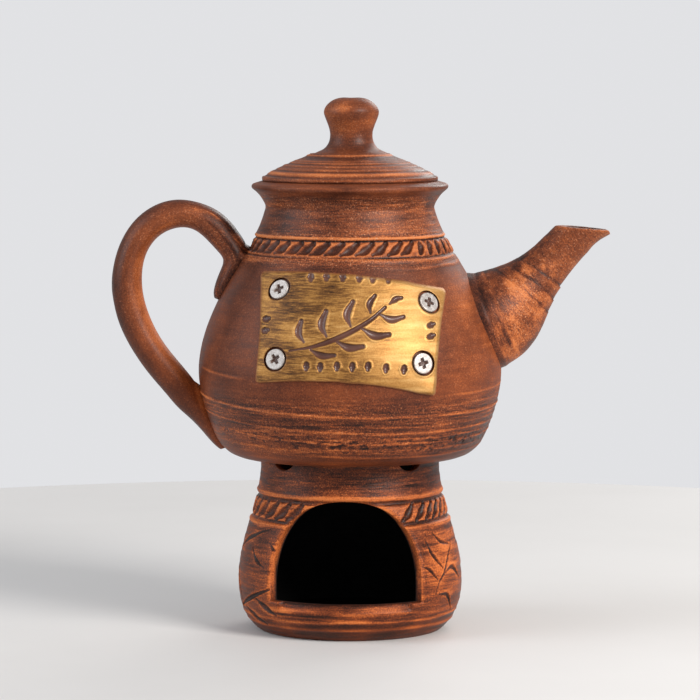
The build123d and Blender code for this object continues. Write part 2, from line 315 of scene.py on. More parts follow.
def cut_away(obj, cutters, cut_fields):
    """Takes closed cutters out of a mesh and carries its attributes over.

    On new faces, tone, smooth and the painted shade are what cut_fields(points) gives.
    """
    old_points = points_of(obj.data)
    old = {}
    for key in ("tone", "smooth", "painted_shade_and_bare_edge", "grain"):
        layer = obj.data.attributes[key]
        width = 3 if layer.data_type == "FLOAT_VECTOR" else 1
        values = np.zeros(len(old_points) * width, np.float32)
        layer.data.foreach_get("vector" if width == 3 else "value", values)
        old[key] = values.reshape(-1, 3) if width == 3 else values
    for cutter in cutters:
        modifier = obj.modifiers.new("cut", "BOOLEAN")
        modifier.object = cutter
        modifier.operation = "DIFFERENCE"
        modifier.solver = "MANIFOLD"
    baked(obj)
    for cutter in cutters:
        bpy.data.objects.remove(cutter)
    tree = KDTree(len(old_points))
    for i, point in enumerate(old_points):
        tree.insert(point, i)
    tree.balance()
    points = points_of(obj.data)
    found = [tree.find(p) for p in points]
    nearest = np.array([f[1] for f in found])
    fresh = np.array([f[2] for f in found]) > WELD_MM
    new = {key: values[nearest] for key, values in old.items()}
    for key, values in zip(("tone", "smooth", "painted_shade_and_bare_edge"), cut_fields(points)):
        new[key] = np.where(fresh, values, new[key])
    write_attributes(obj.data, new)
    obj.data.shade_smooth()


def prism(name, *outlines):
    """A closed cutter through a row of outlines with the same number of corners, in mm."""
    count = len(outlines[0])
    i = np.arange(count)
    j = (i + 1) % count
    starts = count * np.arange(len(outlines))
    sides = [np.stack([i + a, j + a, j + b, i + b], -1) for a, b in zip(starts, starts[1:])]
    caps = np.stack([i[::-1], i + starts[-1]])
    obj = new_object(name, np.vstack(outlines), [*sides, caps], {})
    work = bmesh.new()
    work.from_mesh(obj.data)
    bmesh.ops.triangulate(work, faces=work.faces)
    bmesh.ops.recalc_face_normals(work, faces=work.faces)
    work.to_mesh(obj.data)
    work.free()
    return obj


# ---- materials

def add(tree, kind, sockets=None, **settings):
    """A shader node whose inputs are set to values, or linked where the value is another node's output."""
    made = tree.nodes.new("ShaderNode" + kind)
    for key, value in settings.items():
        setattr(made, key, value)
    for key, value in (sockets or {}).items():
        if isinstance(value, bpy.types.NodeSocket):
            tree.links.new(value, made.inputs[key])
        else:
            made.inputs[key].default_value = value
    return made


def maths(operation, first, second, clamp=False):
    """A Math node in the tree of whichever input is a socket."""
    tree = (first if isinstance(first, bpy.types.NodeSocket) else second).id_data
    return add(tree, "Math", {0: first, 1: second}, operation=operation, use_clamp=clamp).outputs[0]


def plus(first, second, clamp=False):
    return maths("ADD", first, second, clamp)


def minus(first, second):
    return maths("SUBTRACT", first, second)


def times(first, second, clamp=False):
    return maths("MULTIPLY", first, second, clamp)


def noise(vector, scale, detail=3.0, roughness=0.55):
    """A noise value that averages 0.5."""
    sockets = {"Vector": vector, "Scale": scale, "Detail": detail, "Roughness": roughness}
    return add(vector.id_data, "TexNoise", sockets).outputs[0]


def colour_ramp(value, stops):
    made = add(value.id_data, "ValToRGB", {0: value})
    elements = made.color_ramp.elements
    while len(elements) < len(stops):
        elements.new(0.5)
    for element, (position, colour) in zip(elements, stops):
        element.position = position
        element.color = (*colour, 1.0)
    return made.outputs[0]


def blend(factor, a, b, mode="MIX"):
    """A colour mix of two colours, each a socket or three numbers."""
    a, b = (v if isinstance(v, bpy.types.NodeSocket) else (*v, 1.0) for v in (a, b))
    mix = add(factor.id_data, "Mix", {0: factor, 6: a, 7: b}, data_type="RGBA", blend_type=mode)
    return mix.outputs[2]


def bump(height, strength, distance):
    sockets = {"Strength": strength, "Distance": distance, "Height": height}
    return add(height.id_data, "Bump", sockets).outputs[0]


def weighted(base, terms):
    """base plus each term's (value - 0.5) times its weight."""
    total = base
    for value, weight in terms:
        total = plus(times(minus(value, 0.5), weight), total)
    return total


def attribute(tree, name, output="Fac"):
    return add(tree, "Attribute", attribute_name=name).outputs[output]


def new_material(name):
    """A material, its empty node tree and object coordinates in it."""
    material = bpy.data.materials.new(name)
    material.use_nodes = True
    tree = material.node_tree
    tree.nodes.clear()
    return material, tree, add(tree, "TexCoord").outputs["Object"]


def surface(tree, sockets):
    """The shader that the material ends in."""
    shader = add(tree, "BsdfPrincipled", sockets)
    output = add(tree, "OutputMaterial", {"Surface": shader.outputs[0]})
    output.is_active_output = True


# Clay, from the black-brown wash left in hollows to the orange body rubbed bare on ridges
CLAY_STOPS = [
    (0.00, (0.010, 0.0045, 0.0035)),
    (0.22, (0.040, 0.0120, 0.0068)),
    (0.42, (0.112, 0.0280, 0.0110)),
    (0.60, (0.220, 0.0550, 0.0175)),
    (0.78, (0.430, 0.1180, 0.0330)),
    (1.00, (0.640, 0.2050, 0.0640)),
]
CLAY_LEVEL = 0.48  # where tone 0 lies on those stops
TONE_WEIGHT = 0.32  # how far tone 1 is from tone 0
BAND_WEIGHT = 0.6
PATCH_WEIGHT = 0.65
SPECK_WEIGHT = 1.15
DUST = 0.30  # how much lighter the grains rubbed bare are
# Real dust on the speckle grains, and painted highlight where it stands in for the sheen on the spout
DUST_AND_SHEEN_COLOUR = (0.520, 0.315, 0.200)
DUST_COVER = 0.70  # how much of a grain is pale dust
LOW_SHADE_TINT = (1.0, 0.84, 0.62)  # painted shade: the clay is tinted redder low down, in place of the pale light that the upper parts reflect
LOW_SHADE_TINT_TOP = 0.165  # metres above the table where the tint has faded out
# Painted shade: the near-black colour put where the warmer's chamber lies in deep shadow
PAINTED_SHADE_COLOUR = (0.0035, 0.003, 0.003)


def clay():
    """Brushed and burnished clay, whose colour follows the relief by way of the tone attribute."""
    material, tree, place = new_material("fired_clay")
    grain = attribute(tree, "grain", "Vector")
    tone, burnish, painted_shade_and_bare_edge = (attribute(tree, name) for name in ("tone", "smooth", "painted_shade_and_bare_edge"))
    streak = noise(grain, 1.3, 5.0, 0.65)
    band = noise(grain, 0.22)
    patch = noise(place, 42.0, 4.0, 0.6)
    speck = noise(place, 1700.0, 2.0, 0.7)
    brushed = minus(1.0, times(burnish, 0.88))
    dusty = minus(1.0, times(burnish, 0.60))
    grains = times(minus(noise(place, 1300.0, 1.0, 0.6), 0.56), 3.4, True)
    dust = times(times(grains, dusty), DUST)
    terms = [
        (streak, brushed), (band, times(brushed, BAND_WEIGHT)),
        (patch, PATCH_WEIGHT), (speck, times(dusty, SPECK_WEIGHT)),
    ]
    value = plus(weighted(plus(times(tone, TONE_WEIGHT), CLAY_LEVEL), terms), dust)
    lit = times(minus(value, 0.30), 2.0, True)
    height_up = add(tree, "SeparateXYZ", {"Vector": place}).outputs["Z"]
    # Painted shade: full near the table and gone higher up, it tints the clay redder and lets less pale dust
    # show low down
    low = times(minus(LOW_SHADE_TINT_TOP, height_up), 8.0, True)
    cover = times(times(times(dust, DUST_COVER / DUST), lit), minus(1.15, low), True)
    colour = blend(cover, colour_ramp(value, CLAY_STOPS), DUST_AND_SHEEN_COLOUR)
    colour = blend(low, colour, LOW_SHADE_TINT, "MULTIPLY")
    gloss = weighted(0.46, [(patch, 0.25), (streak, 0.20), (value, 0.22)])
    grit = times(speck, times(dusty, 0.45))
    surface(tree, {
        # Painted shade: where the fourth attribute is 1, inside the shadowed chamber, the colour is painted
        # near black and the surface is rougher
        "Base Color": blend(painted_shade_and_bare_edge, colour, PAINTED_SHADE_COLOUR),
        "Roughness": plus(gloss, times(painted_shade_and_bare_edge, 0.45), True),
        "Normal": bump(plus(times(streak, brushed), grit), 0.55, 0.0003),
        "Specular IOR Level": 0.23,
    })
    return material


# Gold paint, from the clay showing through where it is thin to its brightest
GOLD_STOPS = [
    (0.05, (0.045, 0.018, 0.006)),
    (0.35, (0.175, 0.072, 0.017)),
    (0.58, (0.420, 0.200, 0.046)),
    (0.80, (0.585, 0.328, 0.108)),
    (1.00, (0.660, 0.445, 0.215)),
]
GOUGE_STOPS = [(0.3, (0.070, 0.026, 0.018)), (0.7, (0.150, 0.064, 0.045))]
COPPER = (0.36, 0.13, 0.05)  # the plaque's rubbed edge


def gold():
    """Gold paint brushed over clay: dark streaks where it is thin, bare clay in the gouges."""
    material, tree, place = new_material("gold_paint")
    grain = attribute(tree, "grain", "Vector")
    tone, streaky, edge = (attribute(tree, name) for name in ("tone", "smooth", "painted_shade_and_bare_edge"))
    streak = noise(grain, 1.5, 5.0, 0.7)
    band = noise(grain, 0.35)
    patch = noise(place, 60.0)
    speck = noise(place, 1400.0, 2.0, 0.7)
    streak_weight = plus(times(streaky, 1.5), 0.35)
    terms = [(streak, streak_weight), (band, 0.7), (patch, 0.45), (speck, 0.35)]
    value = weighted(minus(0.68, times(streaky, 0.36)), terms)
    value = plus(value, times(maths("MAXIMUM", tone, 0.0), 0.3))
    painted = blend(times(edge, 0.75), colour_ramp(value, GOLD_STOPS), COPPER)
    bare = times(tone, -1.0, True)
    gloss = weighted(0.50, [(patch, 0.2), (streak, 0.2)])
    surface(tree, {
        "Base Color": blend(bare, painted, colour_ramp(patch, GOUGE_STOPS)),
        "Metallic": times(minus(1.0, bare), 0.55),
        "Roughness": minus(gloss, times(bare, 0.18)),
        "Normal": bump(plus(times(streak, streak_weight), times(speck, 0.5)), 0.4, 0.00025),
    })
    return material


STEEL_STOPS = [(0.25, (0.30, 0.26, 0.24)), (0.6, (0.49, 0.455, 0.43)), (0.9, (0.62, 0.59, 0.57))]
RECESS_DARK_COLOUR = (0.070, 0.024, 0.012)
SCRATCH_SCALE = (900, 900, 5200)


def steel():
    """Zinc-plated screw heads, darkened to brown in the cross recess and on the head's sunk side."""
    material, tree, place = new_material("screw_steel")
    recess = attribute(tree, "recess")
    scratch = noise(add(tree, "Mapping", {"Vector": place, "Scale": SCRATCH_SCALE}).outputs[0], 1.0)
    spots = noise(place, 900.0)
    # Darker brown where the recess value is high, in the cross and on the head's sunk side
    darkened = plus(recess, times(recess, times(minus(spots, 0.5), 1.6)), True)
    surface(tree, {
        "Base Color": blend(darkened, colour_ramp(spots, STEEL_STOPS), RECESS_DARK_COLOUR),
        "Metallic": times(minus(1.0, darkened), 0.55),
        "Roughness": weighted(0.40, [(scratch, 0.3), (spots, 0.2)]),
        "Normal": bump(scratch, 0.3, 0.0001),
    })
    return material


def dress(obj, material, body, slot, *replaced):
    obj.data.materials.clear()
    obj.data.materials.append(material)
    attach(obj, body)
    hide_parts(*replaced)


WEAR_REACH = 2.2  # relief is judged against its surroundings this far around


def worn_tone(lift, row_mm, column_mm, strength):
    """Tone from relief: what stands above its surroundings is rubbed bare, and hollows hold dark wash."""
    around_it = blurred(lift, WEAR_REACH / row_mm, WEAR_REACH / column_mm)
    return np.tanh((lift - around_it) / strength)


def patches_of_tone(azimuth, height, wall, lines, areas):
    """Tone added by brushing and burnishing.

    Lines are (tone, height, half width, azimuth ramps) and lie on the outer wall. Areas are
    (tone, height ramps, azimuth ramps).
    """
    tone = np.zeros(azimuth.shape)
    for amount, middle, half_width, turns in lines:
        tone += amount * wall * gauss(height - middle, half_width) * window(azimuth, turns)
    for amount, heights, turns in areas:
        tone += amount * window(height, heights) * window(azimuth, turns)
    return tone


# ---- pot

POT_OUTLINE = wall_outline(["teapot_body", "teapot_neck"], NECK_Z)
POT_SIDE = POT_OUTLINE[: int(np.argmax(POT_OUTLINE[:, 1]))]
POT_SIDE = POT_SIDE[POT_SIDE[:, 1] > FOOT_Z + 0.01]
POT_COLUMNS = 1020
POT_ROW, POT_COLUMN = 0.40, 0.39  # mm between its rows and columns, for the wear
ROPE_MIDDLE = 177.3
ROPE_COUNT = 45
ROPE_PITCH = 360 / ROPE_COUNT
ROPE_LOW_RADIUS, ROPE_HIGH_RADIUS = 50.6, 48.0  # the pot's radius at the gouges' lower and upper ends
SPIRAL = 4.3  # the rings climb this far from the pot's right to its left

# Low ridges left by the thrower's fingers: (height, half width, lift, from azimuth, to azimuth)
POT_RINGS = [
    (171.9, 0.6, 0.26, -180, 180),
    (168.6, 0.5, 0.10, 20, 110),
    (116.5, 0.55, 0.20, -80, -38),
    (112.6, 0.5, 0.10, 34, 120),
    (103.6, 0.6, 0.34, -180, 180),
    (101.9, 0.4, 0.10, -60, 90),
    (99.3, 0.4, 0.12, -30, 120),
    (96.4, 0.5, 0.22, -100, 150),
    (94.0, 0.4, 0.10, 0, 160),
    (91.2, 0.45, 0.20, -60, 180),
    (88.2, 0.4, 0.10, -30, 90),
    (85.0, 0.45, 0.20, -20, 110),
    (160.0, 1.2, 0.05, 50, 180),
    (150.5, 1.4, 0.06, 50, 200),
    (141.0, 1.1, 0.06, 60, 220),
    (132.0, 1.3, 0.06, 60, 230),
    (124.0, 0.9, 0.10, 100, 250),
]
TORN_Z = 90.5  # a belt of torn clay where the belly turns in
BARE_LINE_Z = 181.8  # the ridge above the rope band

# Ramps over height or azimuth, each (where it is 0, where it is 1)
ROPE_SPAN = [(173.6, 174.3), (180.9, 180.3)]
BELLY_SPAN = [(106, 114), (172, 166)]
NECK_SPAN = [(182.5, 186), (197, 192)]
RIGHT_SIDE = [(25, 60), (170, 110)]
# What brushing and burnishing add to the tone, as patches_of_tone takes it
POT_LINES = [
    (-0.70, 180.7, 0.4, []),
    (0.35, 184.5, 2.2, [(-50, 25)]),
    (0.25, 171.0, 1.8, [(-50, 10), (170, 120)]),
    (-0.20, 165.5, 4.5, [(45, 10), (-150, -110)]),
    (-0.25, 100.0, 6.0, [(-80, -20)]),
    (0.25, 100.0, 6.0, RIGHT_SIDE),
]
POT_AREAS = [
    (0.22, NECK_SPAN, []),
    (-0.40, NECK_SPAN, [(25, -50)]),
    (-0.30, [*NECK_SPAN, (187, 192)], [(60, 20)]),
    (-0.08, [(110, 130), (175, 165)], [(0, -60), (-175, -120)]),
    (0.38, [(170, 150), (104, 114)], RIGHT_SIDE),
    (-0.25, [(108, 100)], RIGHT_SIDE),
]


def skin_radius(height):
    """The pot's radius at a height, and its slope, how fast it grows with height."""
    r = np.interp(height, POT_SIDE[:, 1], POT_SIDE[:, 0])
    ahead = np.interp(height + 0.5, POT_SIDE[:, 1], POT_SIDE[:, 0])
    return r, (ahead - r) / 0.5


def spiral_climb(azimuth):
    return SPIRAL * (1 - np.cos(np.radians(azimuth - 30)))


def throwing_rings(azimuth, height):
    lift = np.zeros(azimuth.shape)
    for z, half_width, rise, start, end in POT_RINGS:
        middle, reach = (start + end) / 2, (end - start) / 2
        off = np.abs(turned(azimuth, middle))
        share = 1.0 if reach >= 180 else ramp(off, reach, reach - 14)
        wander = 0.35 * cloudy(azimuth / 30, z + 0 * azimuth, 5, 12)
        lift = lift + rise * share * gauss(height - z - spiral_climb(azimuth) - wander, half_width)
    return lift


def rope_band(azimuth, radius, height):
    """Slanting gouges all round the shoulder, as (cut, burr). They stand upright at the front right."""
    rng = np.random.default_rng(11)
    strokes = []
    for k in range(ROPE_COUNT):
        middle = -180 + (k + 0.5) * ROPE_PITCH + rng.uniform(-0.6, 0.6)
        upright = window(middle, [(33, 40), (120, 100)])
        run = (3.7 - 3.1 * upright) * rng.uniform(0.92, 1.08)
        rise = 2.3 - 0.7 * upright + rng.uniform(-0.15, 0.15)
        low_x = math.radians(middle) * ROPE_LOW_RADIUS - run
        high_x = math.radians(middle) * ROPE_HIGH_RADIUS + run
        points = [
            (low_x, ROPE_MIDDLE - rise),
            ((low_x + high_x) / 2 + 0.45, ROPE_MIDDLE - 0.45),
            (high_x, ROPE_MIDDLE + rise),
        ]
        half_width, burr = 2.15 + 0.05 * upright, 0.2 + 0.4 * upright
        strokes.append((points, half_width, 1.25, burr, 0.55 - 0.35 * upright, 0.35))
    return carve(np.radians(azimuth) * radius, height, strokes)


def pot_relief(azimuth, radius, height, along):
    lip_along = float(along[height == height.max()].min())
    inner = along > lip_along
    wall = np.where(~inner & (height > FOOT_Z + 0.6), 1.0, 0.0)
    x = azimuth / 360
    rope, belly, neck = (window(height, span) for span in (ROPE_SPAN, BELLY_SPAN, NECK_SPAN))

    uneven = 0.35 * cloudy(x * 5, height / 38, 1, 5) + 0.10 * cloudy(x * 14, height / 13, 2, 14)
    brushed = 0.05 * cloudy(x * 26, height / 0.9, 3, 26) + 0.05 * cloudy(x * 40, height / 1.9, 4, 40)
    brushed = brushed * (1 - 0.85 * rope) * (1 - 0.7 * belly)
    torn_belt = gauss(height - TORN_Z - spiral_climb(azimuth), 3.2)
    torn_belt = torn_belt * ramp(np.abs(turned(azimuth, 40)), 130, 70)
    tears = np.clip(cloudy(x * 256, height / 0.8, 6) * cloudy(x * 60, height / 2.2, 9, 60) * 2.5, 0, 1)
    bare_line = 0.34 * gauss(height - BARE_LINE_Z, 0.55) * (1 + 0.4 * cloudy(x * 18, 0 * height, 7, 18))
    bare_line = bare_line - 0.40 * gauss(height - 180.75, 0.45) - 0.35 * gauss(height - 173.5, 0.5)
    cut, burr = rope_band(azimuth, radius, height)
    band = rope * (-0.15 - cut + burr)
    shape = wall * (throwing_rings(azimuth, height) + brushed - 0.40 * tears * torn_belt + bare_line + band)
    inside_rings = 0.25 * np.sin(height * 1.15 + 2 * cloudy(x * 6, height / 20, 8, 6) + azimuth / 57.3)
    shape = shape + np.where(inner & (height < 190) & (radius > 8), inside_rings, 0)

    tone = worn_tone(shape, POT_ROW, POT_COLUMN, 0.17) * (1 - 0.45 * rope)
    ridge_wear = 0.42 + 0.50 * cloudy(x * 70, height / 1.2, 10, 70)
    tone += rope * (ridge_wear * np.clip(1 - cut / 0.2, 0, 1) - 0.20 * np.clip(cut / 0.5, 0, 1))
    bare = 0.8 + 0.4 * cloudy(x * 30, 0 * height, 14, 30)
    tone += wall * bare * gauss(height - BARE_LINE_Z, 0.5)
    tone += patches_of_tone(azimuth, height, wall, POT_LINES, POT_AREAS)
    tone -= 0.25 * wall * torn_belt * (1 - 0.6 * window(azimuth, RIGHT_SIDE))
    tone = np.where(inner, tone * 0.5 - 0.25, tone)
    slip = ramp(height, 88, 83) * wall + 0.35 * neck + ramp(height, 199, 202) + 0.92 * belly + 0.95 * rope
    smooth = np.where(inner, 0.5, np.clip(slip, 0, 1))
    fields = {"tone": tone, "smooth": smooth, "painted_shade_and_bare_edge": 0 * tone}
    return shape + 0.35 * wall * uneven * ramp(height, 200, 190), fields


OUTER_SHARE = 0.56  # the lips of pot and warmer lie before this share of their outlines


def pot_step(radius, height, share):
    """Row spacing: finest on the rope band, coarse under the foot and inside the pot."""
    outside = share < OUTER_SHARE
    step = np.where(outside & (height > FOOT_Z + 0.5), 0.42, 1.6)
    step = np.where(outside & (height > 172.5) & (height < 182.5), 0.28, step)
    return np.where((radius < FOOT_Z * 0.55) & (height < FOOT_Z + 0.5), 2.5, step)


STRAINER_PLACE = np.array([62.0, 0, 142.0])
STRAINER_TILT = math.radians(22)
STRAINER_RING, STRAINER_HOLE = 8.5, 2.4
STRAINER_HALF_LENGTH = 16


def strainer_cutters():
    """A ring of six holes and one in its middle, through the wall behind the spout."""
    out = np.array([math.cos(STRAINER_TILT), 0, math.sin(STRAINER_TILT)])
    up = np.array([-math.sin(STRAINER_TILT), 0, math.cos(STRAINER_TILT)])
    side = np.array([0, 1, 0])
    turns = np.radians(np.arange(0, 360, 15))[:, None]
    circle = STRAINER_HOLE * (np.cos(turns) * up + np.sin(turns) * side)
    cutters = []
    for k in range(7):
        turn, shift = math.radians(60 * k), 0.0 if k == 6 else STRAINER_RING
        centre = STRAINER_PLACE + shift * (math.sin(turn) * side + math.cos(turn) * up)
        ends = (centre + circle - STRAINER_HALF_LENGTH * out, centre + circle + STRAINER_HALF_LENGTH * out)
        cutters.append(prism(f"strainer_hole_{k}", *ends))
    return cutters


def strainer_fields(points):
    """Dark clay, half burnished, in the strainer holes."""
    none = 0 * points[:, 0]
    return none - 0.4, none + 0.5, none


# ---- warmer

WARMER_OUTLINE = wall_outline(["warmer"])
WARMER_SIDE = WARMER_OUTLINE[1 : int(np.argmax(WARMER_OUTLINE[:, 1])) + 1]
WARMER_COLUMNS = 760
WARMER_GAP = 0.42  # mm between its rows and its columns, for the wear
DOOR_TURN = -3.0  # azimuth of the door's middle
DOOR_SPREAD = 0.92  # half its width as a share of the distance from the axis
DOOR_SECTIONS = 41  # cross sections of its cutter, so that the painted shade can start part way in
DOOR_FROM, DOOR_TO = 14.0, 62.0  # distances from the axis that the cutter spans
SILL_Z = 17.5
SPRING_Z = 31.5  # the door's sides turn into its arch
ARCH_Z = 63.3
VENT_TURNS = (45, 135)
VENT_RADIUS = 8.7
VENT_RISE = 4.6  # the vents' centres stand this far above the rim
VENT_HALF_LENGTH = 80

# Leaves cut beside the door: (points as azimuth and height, half width, depth, burr, thinning at both ends)
INCISIONS = [
    ([(-50.5, 49.2), (-57, 47.8), (-64.2, 45.7), (-73, 43.0), (-80.4, 40.1), (-88, 34.5)],
     0.95, 0.75, 0.22, 0.6, 0.6),
    ([(-86, 31), (-79.5, 22.6), (-76.0, 14.5)], 0.85, 0.65, 0.15, 0.6, 0.6),
    ([(-64.1, 39.7), (-58.6, 35.0), (-50.1, 31.8)], 1.05, 0.7, 0.18, 0.5, 0.7),
    ([(-49.0, 43.4), (-43.0, 38.7)], 0.9, 0.5, 0.15, 0.6, 0.6),
    ([(-46.1, 22.4), (-58.8, 18.2), (-76.8, 12.2)], 1.1, 0.7, 0.55, 0.4, 0.4),
    ([(-56.3, 17.1), (-49, 13.9), (-42.2, 10.8)], 1.5, 0.8, 0.15, 0.6, 0.6),
    ([(-70.5, 12.1), (-61, 8.6), (-51.9, 5.8)], 1.4, 0.7, 0.15, 0.6, 0.6),
    ([(76.0, 46.7), (69, 41), (63.2, 36.0), (56.6, 29.2), (51.7, 25.2), (48.8, 20.2)],
     0.95, 0.8, 0.18, 0.6, 0.6),
    ([(52.2, 47.6), (58.6, 43.2), (66.7, 41.3)], 0.85, 0.65, 0.15, 0.6, 0.4),
    ([(45.5, 44.8), (48.9, 38.2), (56.2, 31.5)], 0.95, 0.7, 0.2, 0.6, 0.4),
    ([(39.6, 33.5), (44.6, 31.9), (50.5, 26.9)], 0.85, 0.65, 0.15, 0.6, 0.4),
    ([(57.4, 29.1), (66.0, 30.9), (76.0, 24.5)], 1.2, 0.7, 0.25, 0.5, 0.6),
    ([(51.5, 19.9), (59.5, 18.6), (66.6, 11.1)], 1.1, 0.65, 0.25, 0.5, 0.6),
    ([(104, 48), (112, 38), (124, 27), (129, 13)], 0.95, 0.75, 0.2, 0.6, 0.6),
    ([(96, 36), (104, 34), (116, 35)], 0.85, 0.65, 0.15, 0.6, 0.5),
    ([(134, 43), (128, 34), (122, 29)], 0.9, 0.65, 0.15, 0.6, 0.5),
    ([(112, 21), (120, 19), (126, 20)], 0.9, 0.6, 0.15, 0.6, 0.5),
    ([(-104, 49), (-118, 45), (-131, 36), (-138, 24)], 0.95, 0.75, 0.2, 0.6, 0.6),
    ([(-112, 37), (-118, 30), (-127, 26)], 1.0, 0.7, 0.18, 0.6, 0.5),
    ([(-99, 28), (-108, 20), (-121, 12)], 1.2, 0.7, 0.3, 0.5, 0.5),
    ([(-142, 45), (-150, 36), (-152, 24)], 0.9, 0.65, 0.15, 0.6, 0.5),
    ([(158, 47), (166, 36), (170, 22), (166, 12)], 0.95, 0.75, 0.2, 0.6, 0.6),
    ([(150, 35), (158, 30), (168, 30)], 0.85, 0.6, 0.15, 0.6, 0.5),
    ([(179, 40), (173, 32), (169, 27)], 0.85, 0.6, 0.15, 0.6, 0.5),
    ([(-172, 28), (-163, 20), (-158, 11)], 1.1, 0.65, 0.2, 0.6, 0.5),
]
# Azimuths of the gouges over the door's shoulders as in the photograph, then evenly round the back
GOUGES = [-82, -72.5, -63.2, -53.6, -43.5, -34.5, 36.0, 45.9, 53.9, 60.6, 68.2, 76.5]
GOUGES = [*GOUGES, *np.arange(86.0, 270.0, 9.2)]
GOUGE_LOW_RADIUS, GOUGE_HIGH_RADIUS = 46.0, 43.5

# Ramps over height or azimuth, each (where it is 0, where it is 1)
GOUGE_SPAN = [(53.6, 54.6), (61.4, 60.4)]
# Turned ridges and grooves: (height, half width, lift)
WARMER_RINGS = [
    (64.6, 0.85, 0.45),
    (62.3, 1.1, -0.55),
    (53.0, 1.1, -0.50),
    (51.0, 0.8, 0.45),
    (9.3, 0.7, 0.30),
]
# What brushing and burnishing add to the tone, as patches_of_tone takes it
WARMER_LINES = [(0.10, 10.5, 3.0, [])]
WARMER_AREAS = [
    (0.266, [(50, 44), (12, 22)], [(40, 60), (130, 90)]),
    (-0.30, [(12, 20), (50, 46)], [(-36, -60)]),
]


def door_half_angle(height):
    """Half the door's width at a height, in degrees, 0 above the arch."""
    over = np.clip((height - SPRING_Z) / (ARCH_Z - SPRING_Z), 0, 1)
    return np.degrees(np.arctan(DOOR_SPREAD * np.sqrt(1 - over**2)))


def door_edge_distance(azimuth, radius, height):
    """Distance in mm over the skin to the door's edge."""
    rise = np.linspace(0, 1, 60)
    arch_heights = SPRING_Z + (ARCH_Z - SPRING_Z) * np.sin(rise * math.pi / 2)
    heights = np.concatenate([np.linspace(SILL_Z, SPRING_Z, 8), arch_heights])
    right = np.stack([door_half_angle(heights), heights], 1)
    loop = np.vstack([right, (right * (-1, 1))[::-1], right[:1]]) + (DOOR_TURN, 0)
    radii = np.interp(loop[:, 1], WARMER_SIDE[:, 1], WARMER_SIDE[:, 0])
    loop[:, 0] = np.radians(loop[:, 0]) * radii
    return to_line(np.radians(azimuth) * radius, height, loop, 8.0)[0]


def warmer_gouges(azimuth, radius, height):
    """The slanting gouges over the door's shoulders and round the back, as (cut, burr)."""
    strokes = []
    for gouge in GOUGES:
        az = turned(gouge, 0)
        low, high = np.radians(az - 4.4) * GOUGE_LOW_RADIUS, np.radians(az + 4.4) * GOUGE_HIGH_RADIUS
        points = [(low, 54.4), ((low + high) / 2 + 0.4, 57.2), (high, 61.0)]
        strokes.append((points, 2.3, 1.35, 0.2, 0.45, 0.45))
    return carve(np.radians(azimuth) * radius, height, strokes)


def warmer_marks(azimuth, radius, height):
    """The leaves cut beside the door and round the back, as (cut, burr)."""
    strokes = []
    for points, *rest in INCISIONS:
        radii = np.interp([z for _, z in points], WARMER_SIDE[:, 1], WARMER_SIDE[:, 0])
        line = [(math.radians(az) * r, z) for (az, z), r in zip(points, radii)]
        strokes.append((line, *rest))
    return carve(np.radians(azimuth) * radius, height, strokes)


